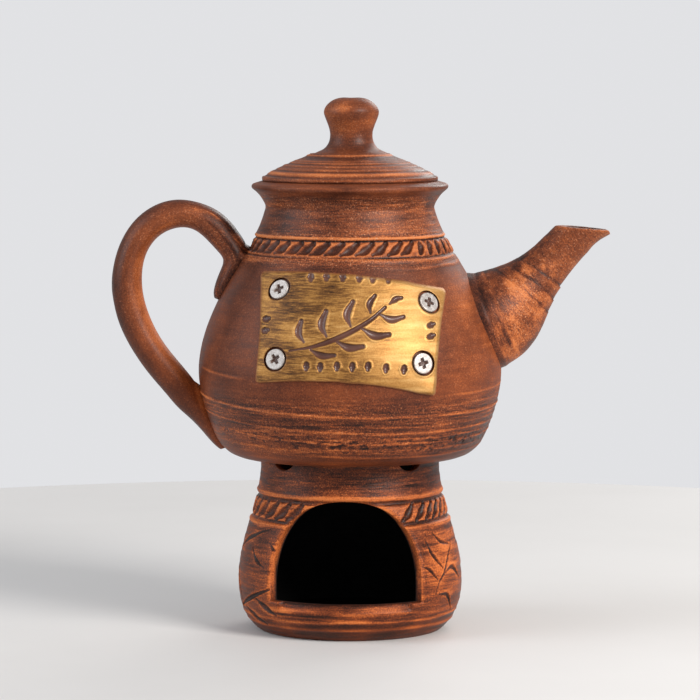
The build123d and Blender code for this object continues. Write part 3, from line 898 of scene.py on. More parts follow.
def warmer_relief(azimuth, radius, height, along):
    rim_along = float(along[height > height.max() - 0.2].mean())
    inside = along > rim_along
    wall = np.where(~inside & (height > 0.5), 1.0, 0.0)
    x = azimuth / 360
    in_band = window(height, GOUGE_SPAN)
    from_door = door_edge_distance(azimuth, radius, height)
    off_door = np.abs(azimuth - DOOR_TURN)
    over_sill = ramp(height, SILL_Z - 2.0, SILL_Z)
    under_door = ramp(off_door, 37.5, 34.5)

    gouge_cut, gouge_burr = warmer_gouges(azimuth, radius, height)
    mark_cut, mark_burr = warmer_marks(azimuth, radius, height)
    wobble = 0.3 * cloudy(x * 9, height / 9, 21, 9)
    rings = 0.22 * gauss(height - 5.6, 0.7)
    for z, half_width, rise in WARMER_RINGS:
        rings = rings + rise * gauss(height - z - wobble, half_width)
    uneven = 0.30 * cloudy(x * 6, height / 22, 22, 6)
    brushed = 0.07 * cloudy(x * 24, height / 1.1, 23, 24) + 0.05 * cloudy(x * 36, height / 2.4, 24, 36)
    scraped = 0.16 * cloudy(x * 16, height / 1.7, 25, 16) * ramp(azimuth, 38, 48) * ramp(height, 48, 42)
    shape = wall * (rings + brushed + scraped - gouge_cut + gouge_burr - mark_cut + mark_burr)

    tone = worn_tone(shape, WARMER_GAP, WARMER_GAP, 0.19) * (1 - 0.4 * in_band)
    tone -= 0.35 * np.clip(gouge_cut / 0.5, 0, 1) + 0.25 * np.clip(mark_cut / 0.5, 0, 1)
    ridge_wear = 0.45 * cloudy(x * 40, height / 2.2, 27, 40) + 0.25 * ramp(azimuth, 20, 40)
    tone += ridge_wear * in_band * np.clip(1 - gouge_cut / 0.2, 0, 1)
    tone += 0.80 * wall * gauss(from_door, 1.0) * over_sill
    tone += 0.7 * wall * gauss(from_door, 4.0) * ramp(height, 54, 61) * ramp(off_door, 40, 22)
    sill_wear = 0.6 + 0.6 * cloudy(x * 40, height / 1.4, 28, 40)
    sill_wear = sill_wear * gauss(height - 14.0, 1.3) - 1.3 * gauss(height - 17.0, 0.9)
    tone += wall * under_door * (sill_wear - 0.45 * gauss(height - 11.8, 0.8))
    rubbed = np.clip(1.4 * cloudy(x * 18, height / 1.1, 18, 18), 0, 1)
    tone += wall * (1.1 * rubbed - 0.38) * gauss(height - 11.0, 7.0) * ramp(off_door, 60, 35)
    tone -= 0.62 * wall * ramp(height, 66, 70) * (0.6 + 0.4 * cloudy(x * 12, height / 3, 26, 12))
    tone += 0.35 * wall * gauss(height - 70, 2.2) * gauss(azimuth - 2, 22)
    streaky = np.clip(cloudy(x * 22, height / 0.7, 29, 22), 0, 1) ** 2
    tone += 1.5 * wall * ramp(height, 65, 68) * streaky * (0.6 + 0.6 * cloudy(x * 9, height / 5, 19, 9))
    tone += patches_of_tone(azimuth, height, wall, WARMER_LINES, WARMER_AREAS)
    tone -= 0.25 * wall * ramp(height, 6, 3)

    # The door's edge is rounded over and the wall under it is bevelled down from the sill
    shape = shape - 0.9 * wall * np.clip(1 - from_door / 1.5, 0, 1) ** 2 * over_sill
    shape = shape - wall * under_door * np.clip(height - 13.6, 0, 3.9) * ramp(height, 18.4, 17.6)
    # Painted shade: the whole inside is darkened, and below the rim it is painted near black, where the
    # chamber lies in deep shadow
    painted_shade_and_bare_edge = inside * ramp(height, 79.0, 74.0)
    slip = np.clip(0.9 * ramp(height, 9, 5) + 0.3 * ramp(height, 20, 14), 0, 1)
    fields = {"tone": np.where(inside, -0.6, tone), "smooth": slip, "painted_shade_and_bare_edge": painted_shade_and_bare_edge}
    return shape + wall * 0.4 * uneven * ramp(height, 76, 70) * ramp(height, 1, 6), fields


def warmer_step(radius, height, share):
    """Row spacing: fine outside, coarse under the foot, on the floor and inside."""
    step = np.where((share < OUTER_SHARE) & (height > 0.5), 0.42, 1.5)
    return np.where((radius < 38) & (height < 8), 2.5, step)


def warmer_cutters():
    """The arched door, cut radially, and two round-bottomed notches right across the rim."""
    up = np.array([0, 0, 1])
    turn = math.radians(DOOR_TURN)
    side = np.array([math.cos(turn), math.sin(turn), 0])
    front = np.array([math.sin(turn), -math.cos(turn), 0])
    arch = np.radians(np.linspace(0, 180, 64))
    sections = []
    for distance in np.linspace(DOOR_FROM, DOOR_TO, DOOR_SECTIONS):
        half = DOOR_SPREAD * distance
        flat = [(half * math.cos(t), SPRING_Z + (ARCH_Z - SPRING_Z) * math.sin(t)) for t in arch]
        flat = [(half, SILL_Z), *flat, (-half, SILL_Z)]
        sections.append([distance * front + u * side + z * up for u, z in flat])
    cutters = [prism("door_cutter", *sections)]
    ring = np.radians(np.arange(0, 360, 6))[:, None]
    for angle in VENT_TURNS:
        turn = math.radians(DOOR_TURN + angle)
        across = np.array([math.cos(turn), math.sin(turn), 0])
        through = VENT_HALF_LENGTH * np.array([math.sin(turn), -math.cos(turn), 0])
        circle = (RIM_Z + VENT_RISE) * up + VENT_RADIUS * (np.cos(ring) * across + np.sin(ring) * up)
        cutters.append(prism(f"vent_cutter_{angle}", circle - through, circle + through))
    return cutters


def warmer_cut_fields(points):
    """Bare orange clay on the door's cut edge, darker on the sill and in the vents, and painted shade further
    in: near black where the door and vents lead into the chamber's deep shadow.
    """
    outer = np.interp(points[:, 2], WARMER_SIDE[:, 1], WARMER_SIDE[:, 0])
    depth = outer - np.hypot(points[:, 0], points[:, 1])
    vent = points[:, 2] > ARCH_Z + 2
    tone = np.select([vent, points[:, 2] < SILL_Z + 0.3], [-0.1, -0.5], 0.75)
    # Painted shade: near black from a few mm into the door and vents, where they lead into shadow
    return tone, 0.3 + 0 * tone, np.where(vent, ramp(depth, 0.6, 2.6), ramp(depth, 2.6, 4.4))


# ---- lid and knob

LID_COLUMNS = 560
LID_ROW, LID_COLUMN = 0.4, 0.5  # mm between its rows and columns, for the wear
KNOB_COLUMNS = 280
KNOB_OFF_AXIS = 0.6  # the knob was pressed on slightly towards the spout
# Steps turned on the lid's dome: (radius, half width, lift)
LID_STEPS = [
    (19.2, 0.6, 0.22),
    (21.8, 1.5, -0.14),
    (25.2, 0.5, 0.09),
    (27.2, 0.4, 0.16),
    (28.4, 0.4, -0.12),
    (30.2, 0.4, 0.14),
    (31.4, 0.4, -0.09),
    (33.2, 0.6, 0.05),
    (34.6, 0.5, -0.18),
    (36.8, 1.3, 0.20),
    (38.6, 0.4, -0.14),
]


def lid_relief(azimuth, radius, height, along):
    edge_along = float(along[np.argmax(radius[:, 0]), 0])
    top = along >= edge_along
    shape = np.zeros(radius.shape)
    x = azimuth / 360
    wander = 0.30 * cloudy(x * 7, radius / 9, 31, 7)
    for at, half_width, rise in LID_STEPS:
        share = 0.85 + 0.55 * cloudy(x * 5, at + 0 * x, 35, 5)
        shape = shape + rise * share * gauss(radius - at - wander, half_width)
    brushed = 0.05 * cloudy(x * 22, radius / 0.9, 32, 22)
    shape = np.where(top, shape + brushed, 0.05 * brushed)
    tone = worn_tone(shape, LID_ROW, LID_COLUMN, 0.24)
    uneven_wear = 0.75 + 0.5 * cloudy(x * 24, radius / 3, 34, 24)
    bright = 0.6 * gauss(radius - 36.8, 1.0) + 0.6 * gauss(radius - 19.2, 0.5)
    bright = bright + 0.35 * gauss(radius - 27.3, 0.4)
    tone += np.where(top, bright * uneven_wear + 0.1 - 0.45 * gauss(radius - 22.0, 2.0), -0.35)
    tone += 0.4 * gauss(along - edge_along, 0.6)
    slip = np.where(top, 0.62 + 0.2 * gauss(radius - 36.5, 2.0), 0.5)
    fields = {"tone": tone, "smooth": slip, "painted_shade_and_bare_edge": 0 * tone}
    return shape + 0.08 * cloudy(x * 5, radius / 12, 33, 5) * top, fields


def knob_relief(azimuth, radius, height, along):
    x = azimuth / 360
    shape = 0.16 * cloudy(x * 4, height / 9, 41, 4) + 0.04 * cloudy(x * 18, height / 1.1, 42, 18)
    rubbed = gauss(azimuth + 14, 22) * gauss(height - 239.5, 2.4)
    stem = gauss(azimuth - 55, 30) * gauss(height - 233, 3.5)
    tone = 0.25 + 0.45 * cloudy(x * 7, height / 7, 43, 7) + 0.9 * rubbed + 0.6 * stem
    tone -= 0.30 * ramp(height, 228, 221)
    fields = {"tone": tone, "smooth": 0.85 + 0 * tone, "painted_shade_and_bare_edge": 0 * tone}
    return shape * ramp(height, LID_TOP_Z, LID_TOP_Z + 4), fields


def knob_outline():
    """The CAD knob's outline, its foot drawn out so that it runs smoothly on to the lid."""
    outline = wall_outline(["lid_knob"])
    first = np.argmax(outline[:, 1] > LID_TOP_Z + 1.6)
    foot = np.array([(0.0, -0.8), (17.6, -0.8), (17.4, -0.1), (15.6, 0.65)]) + (0, LID_TOP_Z)
    return np.vstack([foot, outline[first:]])


def lid_step(radius, height, share):
    """Row spacing: fine on top, coarse underneath."""
    return np.where(share > 0.45, 0.35, 1.0)


def knob_step(radius, height, share):
    return 0.4 + 0 * radius


# ---- build the turned pieces, each with how much its corners are rounded

warmer = lathe("clay_warmer", rows_along(WARMER_OUTLINE, 0.5, warmer_step), WARMER_COLUMNS, warmer_relief)
cut_away(warmer, warmer_cutters(), warmer_cut_fields)
pot = lathe("clay_pot", rows_along(POT_OUTLINE, 0.75, pot_step), POT_COLUMNS, pot_relief)
cut_away(pot, strainer_cutters(), strainer_fields)
lid = lathe("clay_lid", rows_along(wall_outline(["lid"]), 0.35, lid_step), LID_COLUMNS, lid_relief)
knob = lathe("clay_lid_knob", rows_along(knob_outline(), 1.3, knob_step), KNOB_COLUMNS, knob_relief)
knob.data.transform(Matrix.Translation((KNOB_OFF_AXIS * MM, 0, 0)))


# ---- spout and handle

CALM_STEPS = 9  # rounds of smoothing, which take out the voxels' own steps
TUCK_MM = 2.4  # how far a piece's end goes into the pot's wall


def lengths_along(line):
    return np.concatenate([[0], np.cumsum(np.hypot(*np.diff(np.array(line), axis=0).T))])


def pulled_piece(name, node, voxel_mm, centreline, relief):
    """An even copy of a CAD node with relief(along, around, off_axis, points) worked into it.

    along is the distance in mm along the centreline, an (x, z) line; around is the angle round it, 0 on
    its upper or outer side; off_axis is (distance up, distance sideways). Its end on the pot is tucked a
    little into the wall, which hides the seam.
    """
    obj = bpy.data.objects.new(name, nodes[node].data.copy())
    scene.collection.objects.link(obj)
    even = obj.modifiers.new("even", "REMESH")
    even.mode = "VOXEL"
    even.voxel_size = voxel_mm * MM
    calm = obj.modifiers.new("calm", "SMOOTH")
    calm.factor = 0.5
    calm.iterations = CALM_STEPS
    baked(obj)
    mesh = obj.data
    points = points_of(mesh)
    line = rounded_line(centreline, 12)
    lengths = lengths_along(line)
    tangents = np.gradient(line, axis=0)
    tangents = tangents / np.hypot(*tangents.T)[:, None]
    flat = points[:, [0, 2]]
    nearest = np.argmin(((flat[:, None, :] - line[None, :, :]) ** 2).sum(-1), axis=1)
    offset = flat - line[nearest]
    tangent = tangents[nearest]
    along = lengths[nearest] + (offset * tangent).sum(1)
    up = offset[:, 1] * tangent[:, 0] - offset[:, 0] * tangent[:, 1]
    around = np.degrees(np.arctan2(points[:, 1], up))
    lift, fields = relief(along, around, (up, points[:, 1]), points)
    normals = np.zeros(len(points) * 3, np.float32)
    mesh.vertices.foreach_get("normal", normals)
    moved = points + lift[:, None] * normals.reshape(-1, 3)
    from_axis = np.hypot(points[:, 0], points[:, 1])
    inward = TUCK_MM * ramp(from_axis - skin_radius(points[:, 2])[0], 2.6, 0.4)
    moved[:, :2] = moved[:, :2] * (1 - inward / from_axis)[:, None]
    mesh.vertices.foreach_set("co", (moved * MM).astype(np.float32).ravel())
    mesh.update()
    mesh.shade_smooth()
    write_attributes(mesh, fields)
    return obj


SPOUT_LINE = [
    (50, 137), (61, 141.6), (69.5, 146.2), (76, 151.8), (84.5, 161), (94, 171.5), (104, 182), (113, 191.5),
]
SPOUT_RADII = [24.8, 22.9, 21.4, 18.2, 12.9, 10.1, 9.5, 13.0]
# Steps left by the thrower: upper and lower end in the side view, and how tall each is
SPOUT_STEPS = [
    ((76.0, 171.0), (97.0, 157.0), 0.75),
    ((71.0, 168.6), (93.8, 151.4), 0.65),
    ((66.0, 165.5), (91.4, 145.8), 0.40),
]


def spout_relief(along, around, off_axis, points):
    x, y, z = points.T
    wall_radius = np.interp(along, lengths_along(SPOUT_LINE), SPOUT_RADII)
    off = np.hypot(*off_axis)
    outer = ramp(off, wall_radius - 2.6, wall_radius - 1.4)
    turn = around / 360
    lower = ramp(np.abs(around), 5, 85)
    lift, tone = 0 * x, 0 * x
    for k, ((ux, uz), (lx, lz), tall) in enumerate(SPOUT_STEPS):
        length = math.hypot(lx - ux, lz - uz)
        bow = 1.1 * np.cos(np.radians(around - 90)) ** 2 + 0.45 * cloudy(turn * 7, 0 * turn, 51 + k, 7)
        t = ((x - ux) * (uz - lz) + (z - uz) * (lx - ux)) / length - bow
        share = (0.12 + 0.88 * lower) * (0.8 + 0.3 * cloudy(turn * 5, 0 * turn, 57 + k, 5))
        tip_side = np.where(t > 0, np.exp(-np.abs(t) / 2.0), 0)
        root_side = np.where(t > 0, 0, np.exp(-np.abs(t) / 2.6))
        lift += tall * share * (0.6 * root_side - 0.7 * tip_side)
        tone += share * (0.45 * root_side * ramp(t, -0.2, -1.2) - 1.05 * gauss(t - 0.4, 0.8))
    from_pot = np.hypot(x, y) - skin_radius(z)[0]
    off_joint = ramp(from_pot, 0.5, 6)
    joint = 1.5 * ramp(from_pot, 5.0, -0.5) ** 2
    uneven = 0.25 * cloudy(turn * 5, along / 16, 52, 5) + 0.07 * cloudy(turn * 9, along / 2.6, 53, 9)
    lift = (lift + uneven) * off_joint + joint
    smear = cloudy(from_pot / 1.5, z / 11 + 20, 54)
    tone += 0.18 * ramp(x, 84, 74) - 0.50 * gauss(from_pot - 2.6, 2.0) + 0.75 * smear * ramp(from_pot, 14, 7)
    top = ramp(np.abs(around), 75, 25)
    blotch = 0.55 + 0.75 * cloudy(x / 4, y / 4 + 30, 55)
    tone -= 0.75 * top * np.clip(blotch, 0, 2) * window(x, [(52, 60), (92, 80)])
    # Painted highlight: a pale patch on the spout's side where the key light's sheen falls; it lightens the
    # tone and, by lowering smooth, lets more pale dust show
    painted_sheen = gauss(x - 77, 10) * gauss(np.abs(around) - 100, 42)
    tone += 0.50 * painted_sheen * (0.8 + 0.6 * cloudy(along / 3, turn * 24, 56))
    tone += 0.30 * ramp(np.abs(around), 100, 150) * ramp(x, 72, 84)
    tone += 0.15 * ramp(x, 88, 100) + 0.30 * ramp(z, 182.5, 185.5) * ramp(x, 92, 98)
    mottle = 0.50 * cloudy(along / 4.5, turn * 18, 58, 18) + 0.35 * cloudy(along / 1.8, turn * 44, 59, 44)
    tone += mottle * ramp(x, 100, 86) * off_joint + 0.12
    tone = np.where(outer > 0.5, tone, -0.35)
    grain = np.stack([x / 3, y / 3, along], 1)
    return lift * outer, {"tone": tone, "smooth": 0.60 - 0.6 * painted_sheen, "painted_shade_and_bare_edge": 0 * x, "grain": grain}


HANDLE_LINE = [
    (-59, 151.0), (-58, 156.0), (-54, 164.5), (-52.2, 171.0), (-56.5, 178.5), (-66, 187.5), (-79, 191.0),
    (-92.5, 185.0), (-100.5, 172.0), (-102.3, 157.0), (-98.5, 141.0), (-90, 126.0), (-80, 113.5),
    (-71.5, 103.5), (-63.5, 93.0), (-57, 84.5),
]


def handle_relief(along, around, off_axis, points):
    x, y, z = points.T
    up, sideways = off_axis
    total = along.max()
    outward = -np.cos(np.radians(around))
    lift = 0.22 * cloudy(along / 17, around / 90 + 4, 61) + 0.10 * cloudy(along / 30, around / 24 + 16, 62)
    near_top = ramp(along, 62, 30)
    near_end = ramp(along, total - 52, total - 30)
    scratch = cloudy(along / 7, sideways / 1.1 + 40, 63) + 0.1 * cloudy(along / 2, sideways, 64)
    scratch = np.clip(scratch, 0, 1)
    tone = 0.20 - 0.62 * outward * (1 - 0.5 * near_top) - 0.55 * near_top - 0.12 * near_end
    tone += 2.0 * near_top * scratch**2 * ramp(outward, -0.6, 0.2)
    tone += 0.25 * ramp(along, 9, 3) - 0.35 * ramp(along, 24, 10)
    from_pot = np.hypot(x, y) - skin_radius(z)[0]
    tone += 0.45 * gauss(from_pot - 1.8, 0.8) * near_end - 0.9 * gauss(from_pot - 0.3, 0.55)
    outer_side = ramp(outward, 0, 1)
    lift = lift + outer_side * (0.9 * gauss(along - 38, 12) + 0.6 * gauss(along - total + 28, 7))
    lift = lift * ramp(from_pot, 0.5, 4) - 0.35 * gauss(from_pot - 1.0, 0.6) * near_end
    grain = np.stack([along / STREAK_LENGTH, up * 0.55, sideways * 0.55], 1)
    burnish = 0.9 - 0.5 * near_top
    return lift, {"tone": tone, "smooth": burnish, "painted_shade_and_bare_edge": 0 * x, "grain": grain}


TIP_FROM = 109.0
TIP_DRAWN_IN = 0.17


def shorten_tip(obj):
    """Draws in what is past TIP_FROM by a share of it, for a tip rounder and shorter than the CAD spout's."""
    points = points_of(obj.data)
    points[:, 0] -= TIP_DRAWN_IN * np.clip(points[:, 0] - TIP_FROM, 0, None)
    obj.data.vertices.foreach_set("co", (points * MM).astype(np.float32).ravel())
    obj.data.update()


spout = pulled_piece("clay_spout", "spout", 0.45, SPOUT_LINE, spout_relief)
shorten_tip(spout)
handle = pulled_piece("clay_handle", "handle", 0.6, HANDLE_LINE, handle_relief)


# ---- plaque and screws

PLAQUE_THICKNESS = 1.8
PLAQUE_CORNERS = {"tl": (-40.3, 166.9), "tr": (43.4, 159.3), "br": (38.3, 112.3), "bl": (-42.4, 118.3)}
PLAQUE_BOWS = {"top": 3.6, "bottom": 4.5, "left": -1.0, "right": 1.0}  # how far each edge is bent
PLAQUE_GRID = (300, 180)  # points across and up
PLAQUE_ROUND = 1.5  # its edge's rounding
PLAQUE_CORNER_ROUND = 2.4
PLAQUE_SUNK = 0.45  # its edge starts this far inside the pot's skin, so no gap shows
PLAQUE_BACK = 1.4  # its hidden back lies this far inside the pot's skin
CURL_PLACE = (38, 113)  # the lower right corner stands off the pot
CURL_MM = 1.5
CURL_REACH = 11
# Azimuth, height and how far the cross is turned
SCREWS = {
    "screw_upper_left": (-33.3, 159.1, 28),
    "screw_upper_right": (35.4, 153.4, -24),
    "screw_lower_left": (-28.3, 129.3, 38),
    "screw_lower_right": (27.4, 127.6, 12),
}
WELL_RADIUS = 5.4
WELL_FLOOR = 0.5  # how far inside the pot's skin a screw's well ends
# Places of the dots: (azimuth, height)
TOP_DOTS = [(-18.7, 165.2), (-11.2, 165.6), (-3.5, 165.5), (4.2, 165.2), (10.5, 164.9), (18.0, 164.6)]
BOTTOM_DOTS = [
    (-15.9, 126.8), (-10.8, 126.6), (-4.8, 127.0), (0.7, 126.8), (6.3, 126.9), (12.8, 126.0), (19.5, 125.3),
]
SIDE_DOTS = [(-35.0, 146.8), (-34.2, 141.8), (33.7, 144.3), (32.6, 139.5)]
# A sprig of tea leaves: (points as x and z, half width)
SPRIG = [
    ([(-27, 133.5), (-15, 136.0), (-3, 140.5), (8, 146.5), (15.5, 152.5)], 1.25),
    ([(-20.5, 137.5), (-22.8, 141.5), (-21.6, 146.5)], 1.75),
    ([(-17.5, 134.2), (-12.5, 131.8), (-7.0, 132.0)], 1.6),
    ([(-10.5, 140.2), (-12.6, 145.0), (-10.6, 150.8)], 1.85),
    ([(-6.0, 138.0), (-0.5, 135.3), (5.6, 135.8)], 1.75),
    ([(0.2, 144.6), (-1.4, 149.6), (1.2, 155.0)], 1.75),
    ([(5.2, 143.6), (11.0, 140.4), (17.2, 140.8)], 1.8),
    ([(9.0, 150.2), (8.6, 154.0), (11.0, 157.6)], 1.45),
    ([(13.2, 149.6), (18.2, 147.2), (23.6, 148.2)], 1.6),
    ([(17.5, 154.0), (20.4, 156.0), (22.8, 156.4)], 1.35),
]


def arc(start, end, sagitta, count):
    """Points on an arc from start to end that stands sagitta off its chord, to the left as one walks it."""
    start, end = np.array(start, float), np.array(end, float)
    t = np.linspace(0, 1, count)[:, None]
    run = end - start
    left = np.array([-run[1], run[0]]) / np.hypot(*run)
    return start + t * run + sagitta * 4 * t * (1 - t) * left


def screw_frame(azimuth, height):
    """Origin and outward normal of a screw's face, which is flush with the plaque."""
    r, slope = skin_radius(height)
    lean, turn = math.atan(-slope), math.radians(azimuth)
    out = np.array([math.cos(lean) * math.sin(turn), -math.cos(lean) * math.cos(turn), math.sin(lean)])
    on_skin = np.array([r * math.sin(turn), -r * math.cos(turn), height])
    return on_skin + PLAQUE_THICKNESS * out, out


def dot_strokes():
    strokes = []
    for azimuth, z in TOP_DOTS + BOTTOM_DOTS + SIDE_DOTS:
        x = (skin_radius(z)[0] + PLAQUE_THICKNESS) * math.sin(math.radians(azimuth))
        if (azimuth, z) in SIDE_DOTS:
            strokes.append(([(x - 1.0, z - 0.2), (x + 1.0, z + 0.4)], 1.55, 1.0, 0.2, 0.15, 0.4))
        else:
            tall, wide = (1.0, 1.75) if (azimuth, z) in TOP_DOTS else (1.15, 1.55)
            strokes.append(([(x + 0.2, z + tall), (x, z - tall)], wide, 1.15, 0.22, 0.15, 0.35))
    return strokes


def make_plaque():
    across, tall = PLAQUE_GRID
    c, bow = PLAQUE_CORNERS, PLAQUE_BOWS
    top, bottom = arc(c["tl"], c["tr"], bow["top"], across), arc(c["bl"], c["br"], bow["bottom"], across)
    left, right = arc(c["bl"], c["tl"], bow["left"], tall), arc(c["br"], c["tr"], bow["right"], tall)
    u, v = np.linspace(0, 1, across)[None, :, None], np.linspace(0, 1, tall)[:, None, None]
    corner = [np.array(c[k], float) for k in ("bl", "br", "tl", "tr")]
    flat = (1 - v) * bottom[None] + v * top[None] + (1 - u) * left[:, None] + u * right[:, None]
    flat = flat - (1 - v) * ((1 - u) * corner[0] + u * corner[1])
    flat = flat - v * ((1 - u) * corner[2] + u * corner[3])
    x, z = flat[..., 0], flat[..., 1]
    radius = skin_radius(z)[0]

    # How far in from the rounded outline each point is, and the slab's rise over the pot from that
    side_gap = np.minimum(np.hypot(*(flat - left[:, None]).T), np.hypot(*(flat - right[:, None]).T)).T
    end_gap = np.minimum(np.hypot(*(flat - top[None]).T), np.hypot(*(flat - bottom[None]).T)).T
    rounding = PLAQUE_CORNER_ROUND
    past = np.hypot(np.clip(rounding - side_gap, 0, None), np.clip(rounding - end_gap, 0, None))
    edge = np.where(past > 0, rounding - past, np.minimum(side_gap, end_gap))
    edge = edge + 0.25 * cloudy(x / 6, z / 6, 71) * ramp(edge, 6, 0)
    rise = np.sqrt(np.clip(1 - (1 - np.clip(edge / PLAQUE_ROUND, 0, 1)) ** 2, 0, 1))
    slab = (PLAQUE_THICKNESS + PLAQUE_SUNK) * rise - PLAQUE_SUNK + np.clip(edge, None, 0)

    gouges = [(points, half, 1.25, 0.22, 0.6, 0.35) for points, half in SPRIG]
    cut, burr = carve(x, z, gouges + dot_strokes())
    relief = 0.12 * cloudy(x / 14, z / 11, 72) + 0.05 * cloudy(x / 5, z / 1.6, 73)
    relief = relief + CURL_MM * ramp(np.hypot(x - CURL_PLACE[0], z - CURL_PLACE[1]), CURL_REACH, 1)
    offset = slab + (relief - cut + burr) * ramp(edge, 0.2, 1.6)

    def on_pot(lift):
        return np.stack([x, -np.sqrt(np.clip((radius + lift) ** 2 - x**2, 0, None)), z], -1)

    around_screw = np.full(x.shape, np.inf)
    for azimuth, height, _ in SCREWS.values():
        origin, out = screw_frame(azimuth, height)
        place = on_pot(offset) - origin
        gap = np.linalg.norm(place - (place @ out)[..., None] * out, axis=-1)
        around_screw = np.minimum(around_screw, gap)
    well = ramp(around_screw, WELL_RADIUS + 0.25, WELL_RADIUS - 0.15)
    offset = offset + 0.12 * gauss(around_screw - WELL_RADIUS - 0.7, 0.5)
    offset = offset * (1 - well) - WELL_FLOOR * well

    count = across * tall
    index = np.arange(count).reshape(tall, across)
    quads = np.stack([index[:-1, :-1], index[:-1, 1:], index[1:, 1:], index[1:, :-1]], -1).reshape(-1, 4)
    rim = np.concatenate([index[0], index[1:, -1], index[-1, -2::-1], index[-2:0:-1, 0]])
    step = np.roll(rim, -1)
    sides = np.stack([rim, rim + count, step + count, step], -1)
    tone = 0.55 * np.clip(burr / 0.2, 0, 1) - 1.1 * np.clip(cut / 0.45, 0, 1) - 1.3 * well
    tone += 0.45 * ramp(edge, 1.4, 0.5) - 0.3 * gauss(around_screw - WELL_RADIUS - 0.2, 0.4)
    streaky = ramp(x, 30, -22) * (0.75 + 0.45 * cloudy(x / 9, z / 4, 74))
    grain = np.stack([x / 9, 0 * x, z], -1)
    fields = {"tone": tone, "smooth": streaky, "painted_shade_and_bare_edge": ramp(edge, 1.1, 0.1), "grain": grain}
    fields = {key: np.concatenate([f.reshape(count, *f.shape[2:])] * 2) for key, f in fields.items()}
    points = np.vstack([on_pot(offset).reshape(-1, 3), on_pot(-PLAQUE_BACK).reshape(-1, 3)])
    return new_object("gold_plaque", points, [quads, quads[:, ::-1] + count, sides], fields)


HEAD_RADIUS = 4.65
HEAD_DEPTH = 1.6
HEAD_ROUND = 0.4  # the rim's rounding
HEAD_COLUMNS = 96
ARM_REACH = 2.45  # the cross's arms
ARM_HALF_WIDTH = 0.72
HUB_RADIUS = 1.15  # the round hole where they meet
RECESS_DEPTH = 1.15


def make_screw(node, azimuth, height, turned_by):
    """A flat screw head with a rounded rim and a cross recess."""
    origin, out = screw_frame(azimuth, height)
    side = np.array([math.cos(math.radians(azimuth)), math.sin(math.radians(azimuth)), 0])
    above = np.cross(out, side)
    above = above if above[2] > 0 else -above
    count = HEAD_COLUMNS
    flat_radius = HEAD_RADIUS - HEAD_ROUND
    rings = np.concatenate([np.arange(0.1, flat_radius, 0.1), np.linspace(flat_radius, HEAD_RADIUS, 7)])
    angle = np.linspace(0, 2 * math.pi, count, endpoint=False)[None, :]
    r = rings[:, None] + 0 * angle
    u, v = r * np.cos(angle), r * np.sin(angle)
    c, s = math.cos(math.radians(turned_by)), math.sin(math.radians(turned_by))
    a, b = np.abs(u * c + v * s), np.abs(v * c - u * s)
    long_arm, short_arm = np.maximum(a, b), np.minimum(a, b)
    half = ARM_HALF_WIDTH * (1.25 - 0.28 * long_arm / ARM_REACH)
    in_arm = np.minimum(half - short_arm, ARM_REACH - long_arm)
    recess = ramp(np.maximum(in_arm, HUB_RADIUS - r), -0.12, 0.22)
    past_flat = np.clip((r - flat_radius) / HEAD_ROUND, 0, 1)
    below = RECESS_DEPTH * recess * ramp(long_arm, 3.6, 0.6)
    below = below + HEAD_ROUND * (1 - np.sqrt(np.clip(1 - past_flat**2, 0, 1)))
    front = origin + u[..., None] * side + v[..., None] * above - below[..., None] * out
    foot = front[-1] - (HEAD_DEPTH - HEAD_ROUND) * out
    centres = [origin - RECESS_DEPTH * out, origin - HEAD_DEPTH * out]
    index = np.arange(len(rings) * count + count).reshape(-1, count)
    after = np.roll(index, -1, 1)
    quads = np.stack([index[:-1], index[1:], after[1:], after[:-1]], -1).reshape(-1, 4)
    fan = np.stack([np.full(count, index.size), index[0], after[0]], -1)
    floor = np.stack([np.full(count, index.size + 1), after[-1], index[-1]], -1)
    # Darker brown in the cross, on the head's sunk side and at its back
    head_darkening = np.concatenate([recess.ravel(), np.full(count, 0.6), [1.0, 0.6]])
    points = np.vstack([front.reshape(-1, 3), foot, *centres])
    return new_object("steel_" + node, points, [quads, fan, floor], {"recess": head_darkening})


plaque = make_plaque()
CLAY, GOLD, STEEL = clay(), gold(), steel()
dress(spout, CLAY, "teapot", "fired_clay", "spout")
dress(handle, CLAY, "teapot", "fired_clay", "handle")
dress(plaque, GOLD, "teapot", "gold_paint", "plaque")
for screw_node, placement in SCREWS.items():
    dress(make_screw(screw_node, *placement), STEEL, "teapot", "screw_steel", screw_node)
dress(warmer, CLAY, "warmer", "fired_clay", "warmer")
dress(pot, CLAY, "teapot", "fired_clay", "teapot_body", "teapot_neck")
dress(lid, CLAY, "lid", "fired_clay", "lid")
dress(knob, CLAY, "lid", "fired_clay", "lid_knob")


# ---- camera, light and stage

scene.view_settings.view_transform = "Standard"

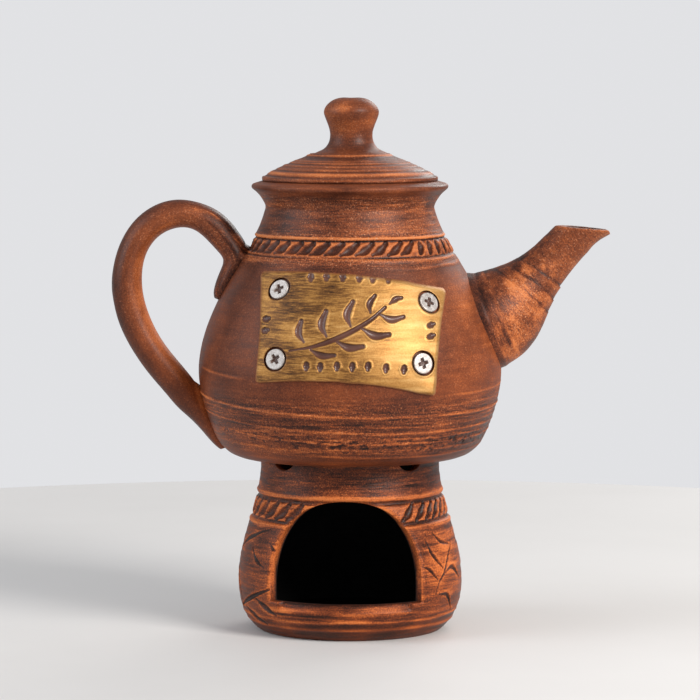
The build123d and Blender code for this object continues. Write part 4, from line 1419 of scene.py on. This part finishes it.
camera_data = bpy.data.cameras.new("camera")
camera_data.lens = 182.57
camera_data.sensor_width = 36.0
camera = bpy.data.objects.new("camera", camera_data)
camera.location = (0.0, -1.627, 0.2707)
camera.rotation_euler = (math.radians(85), 0.0, 0.0)
scene.collection.objects.link(camera)
scene.camera = camera


def soft_light(name, place, target, size, power, colour):
    data = bpy.data.lights.new(name, "AREA")
    data.shape = "RECTANGLE"
    data.size, data.size_y = size
    data.energy = power
    data.color = colour
    lamp = bpy.data.objects.new(name, data)
    lamp.location = place
    lamp.rotation_euler = (Vector(place) - Vector(target)).to_track_quat("Z", "Y").to_euler()
    scene.collection.objects.link(lamp)


AIM = (0.0, 0.0, 0.13)
BACKDROP_LIGHT = 0.78  # the backdrop as the camera sees it
ROOM_LIGHT = 0.42  # what the room sends on to the object
soft_light("key", (1.22, -1.20, 1.05), AIM, (0.75, 0.75), 40.0, (1.0, 0.965, 0.92))
soft_light("window", (-1.35, -0.35, 0.75), AIM, (1.0, 1.2), 11.5, (0.90, 0.95, 1.0))
soft_light("back", (0.7, 1.3, 0.9), AIM, (0.9, 0.7), 9.0, (1.0, 0.98, 0.95))

world = bpy.data.worlds.new("studio")
world.use_nodes = True
background = world.node_tree.nodes["Background"]
background.inputs["Color"].default_value = (0.97, 0.975, 1.0, 1.0)
seen = add(world.node_tree, "LightPath").outputs["Is Camera Ray"]
brightness = plus(times(seen, BACKDROP_LIGHT - ROOM_LIGHT), ROOM_LIGHT)
world.node_tree.links.new(brightness, background.inputs["Strength"])
scene.world = world

TABLE_RADIUS = 550
table_material, table_tree, table_place = new_material("pale_table")
table_colour = blend(noise(table_place, 5.0, 4.0), (0.62, 0.61, 0.60), (0.72, 0.71, 0.705))
surface(table_tree, {"Base Color": table_colour, "Roughness": 0.6})
table_round = np.radians(np.arange(0, 360, 3))
table_edge = np.stack([np.sin(table_round), -np.cos(table_round), 0 * table_round], 1) * TABLE_RADIUS
table = new_object("table", table_edge, [np.arange(len(table_edge))[None, :]], {})
table.data.materials.append(table_material)
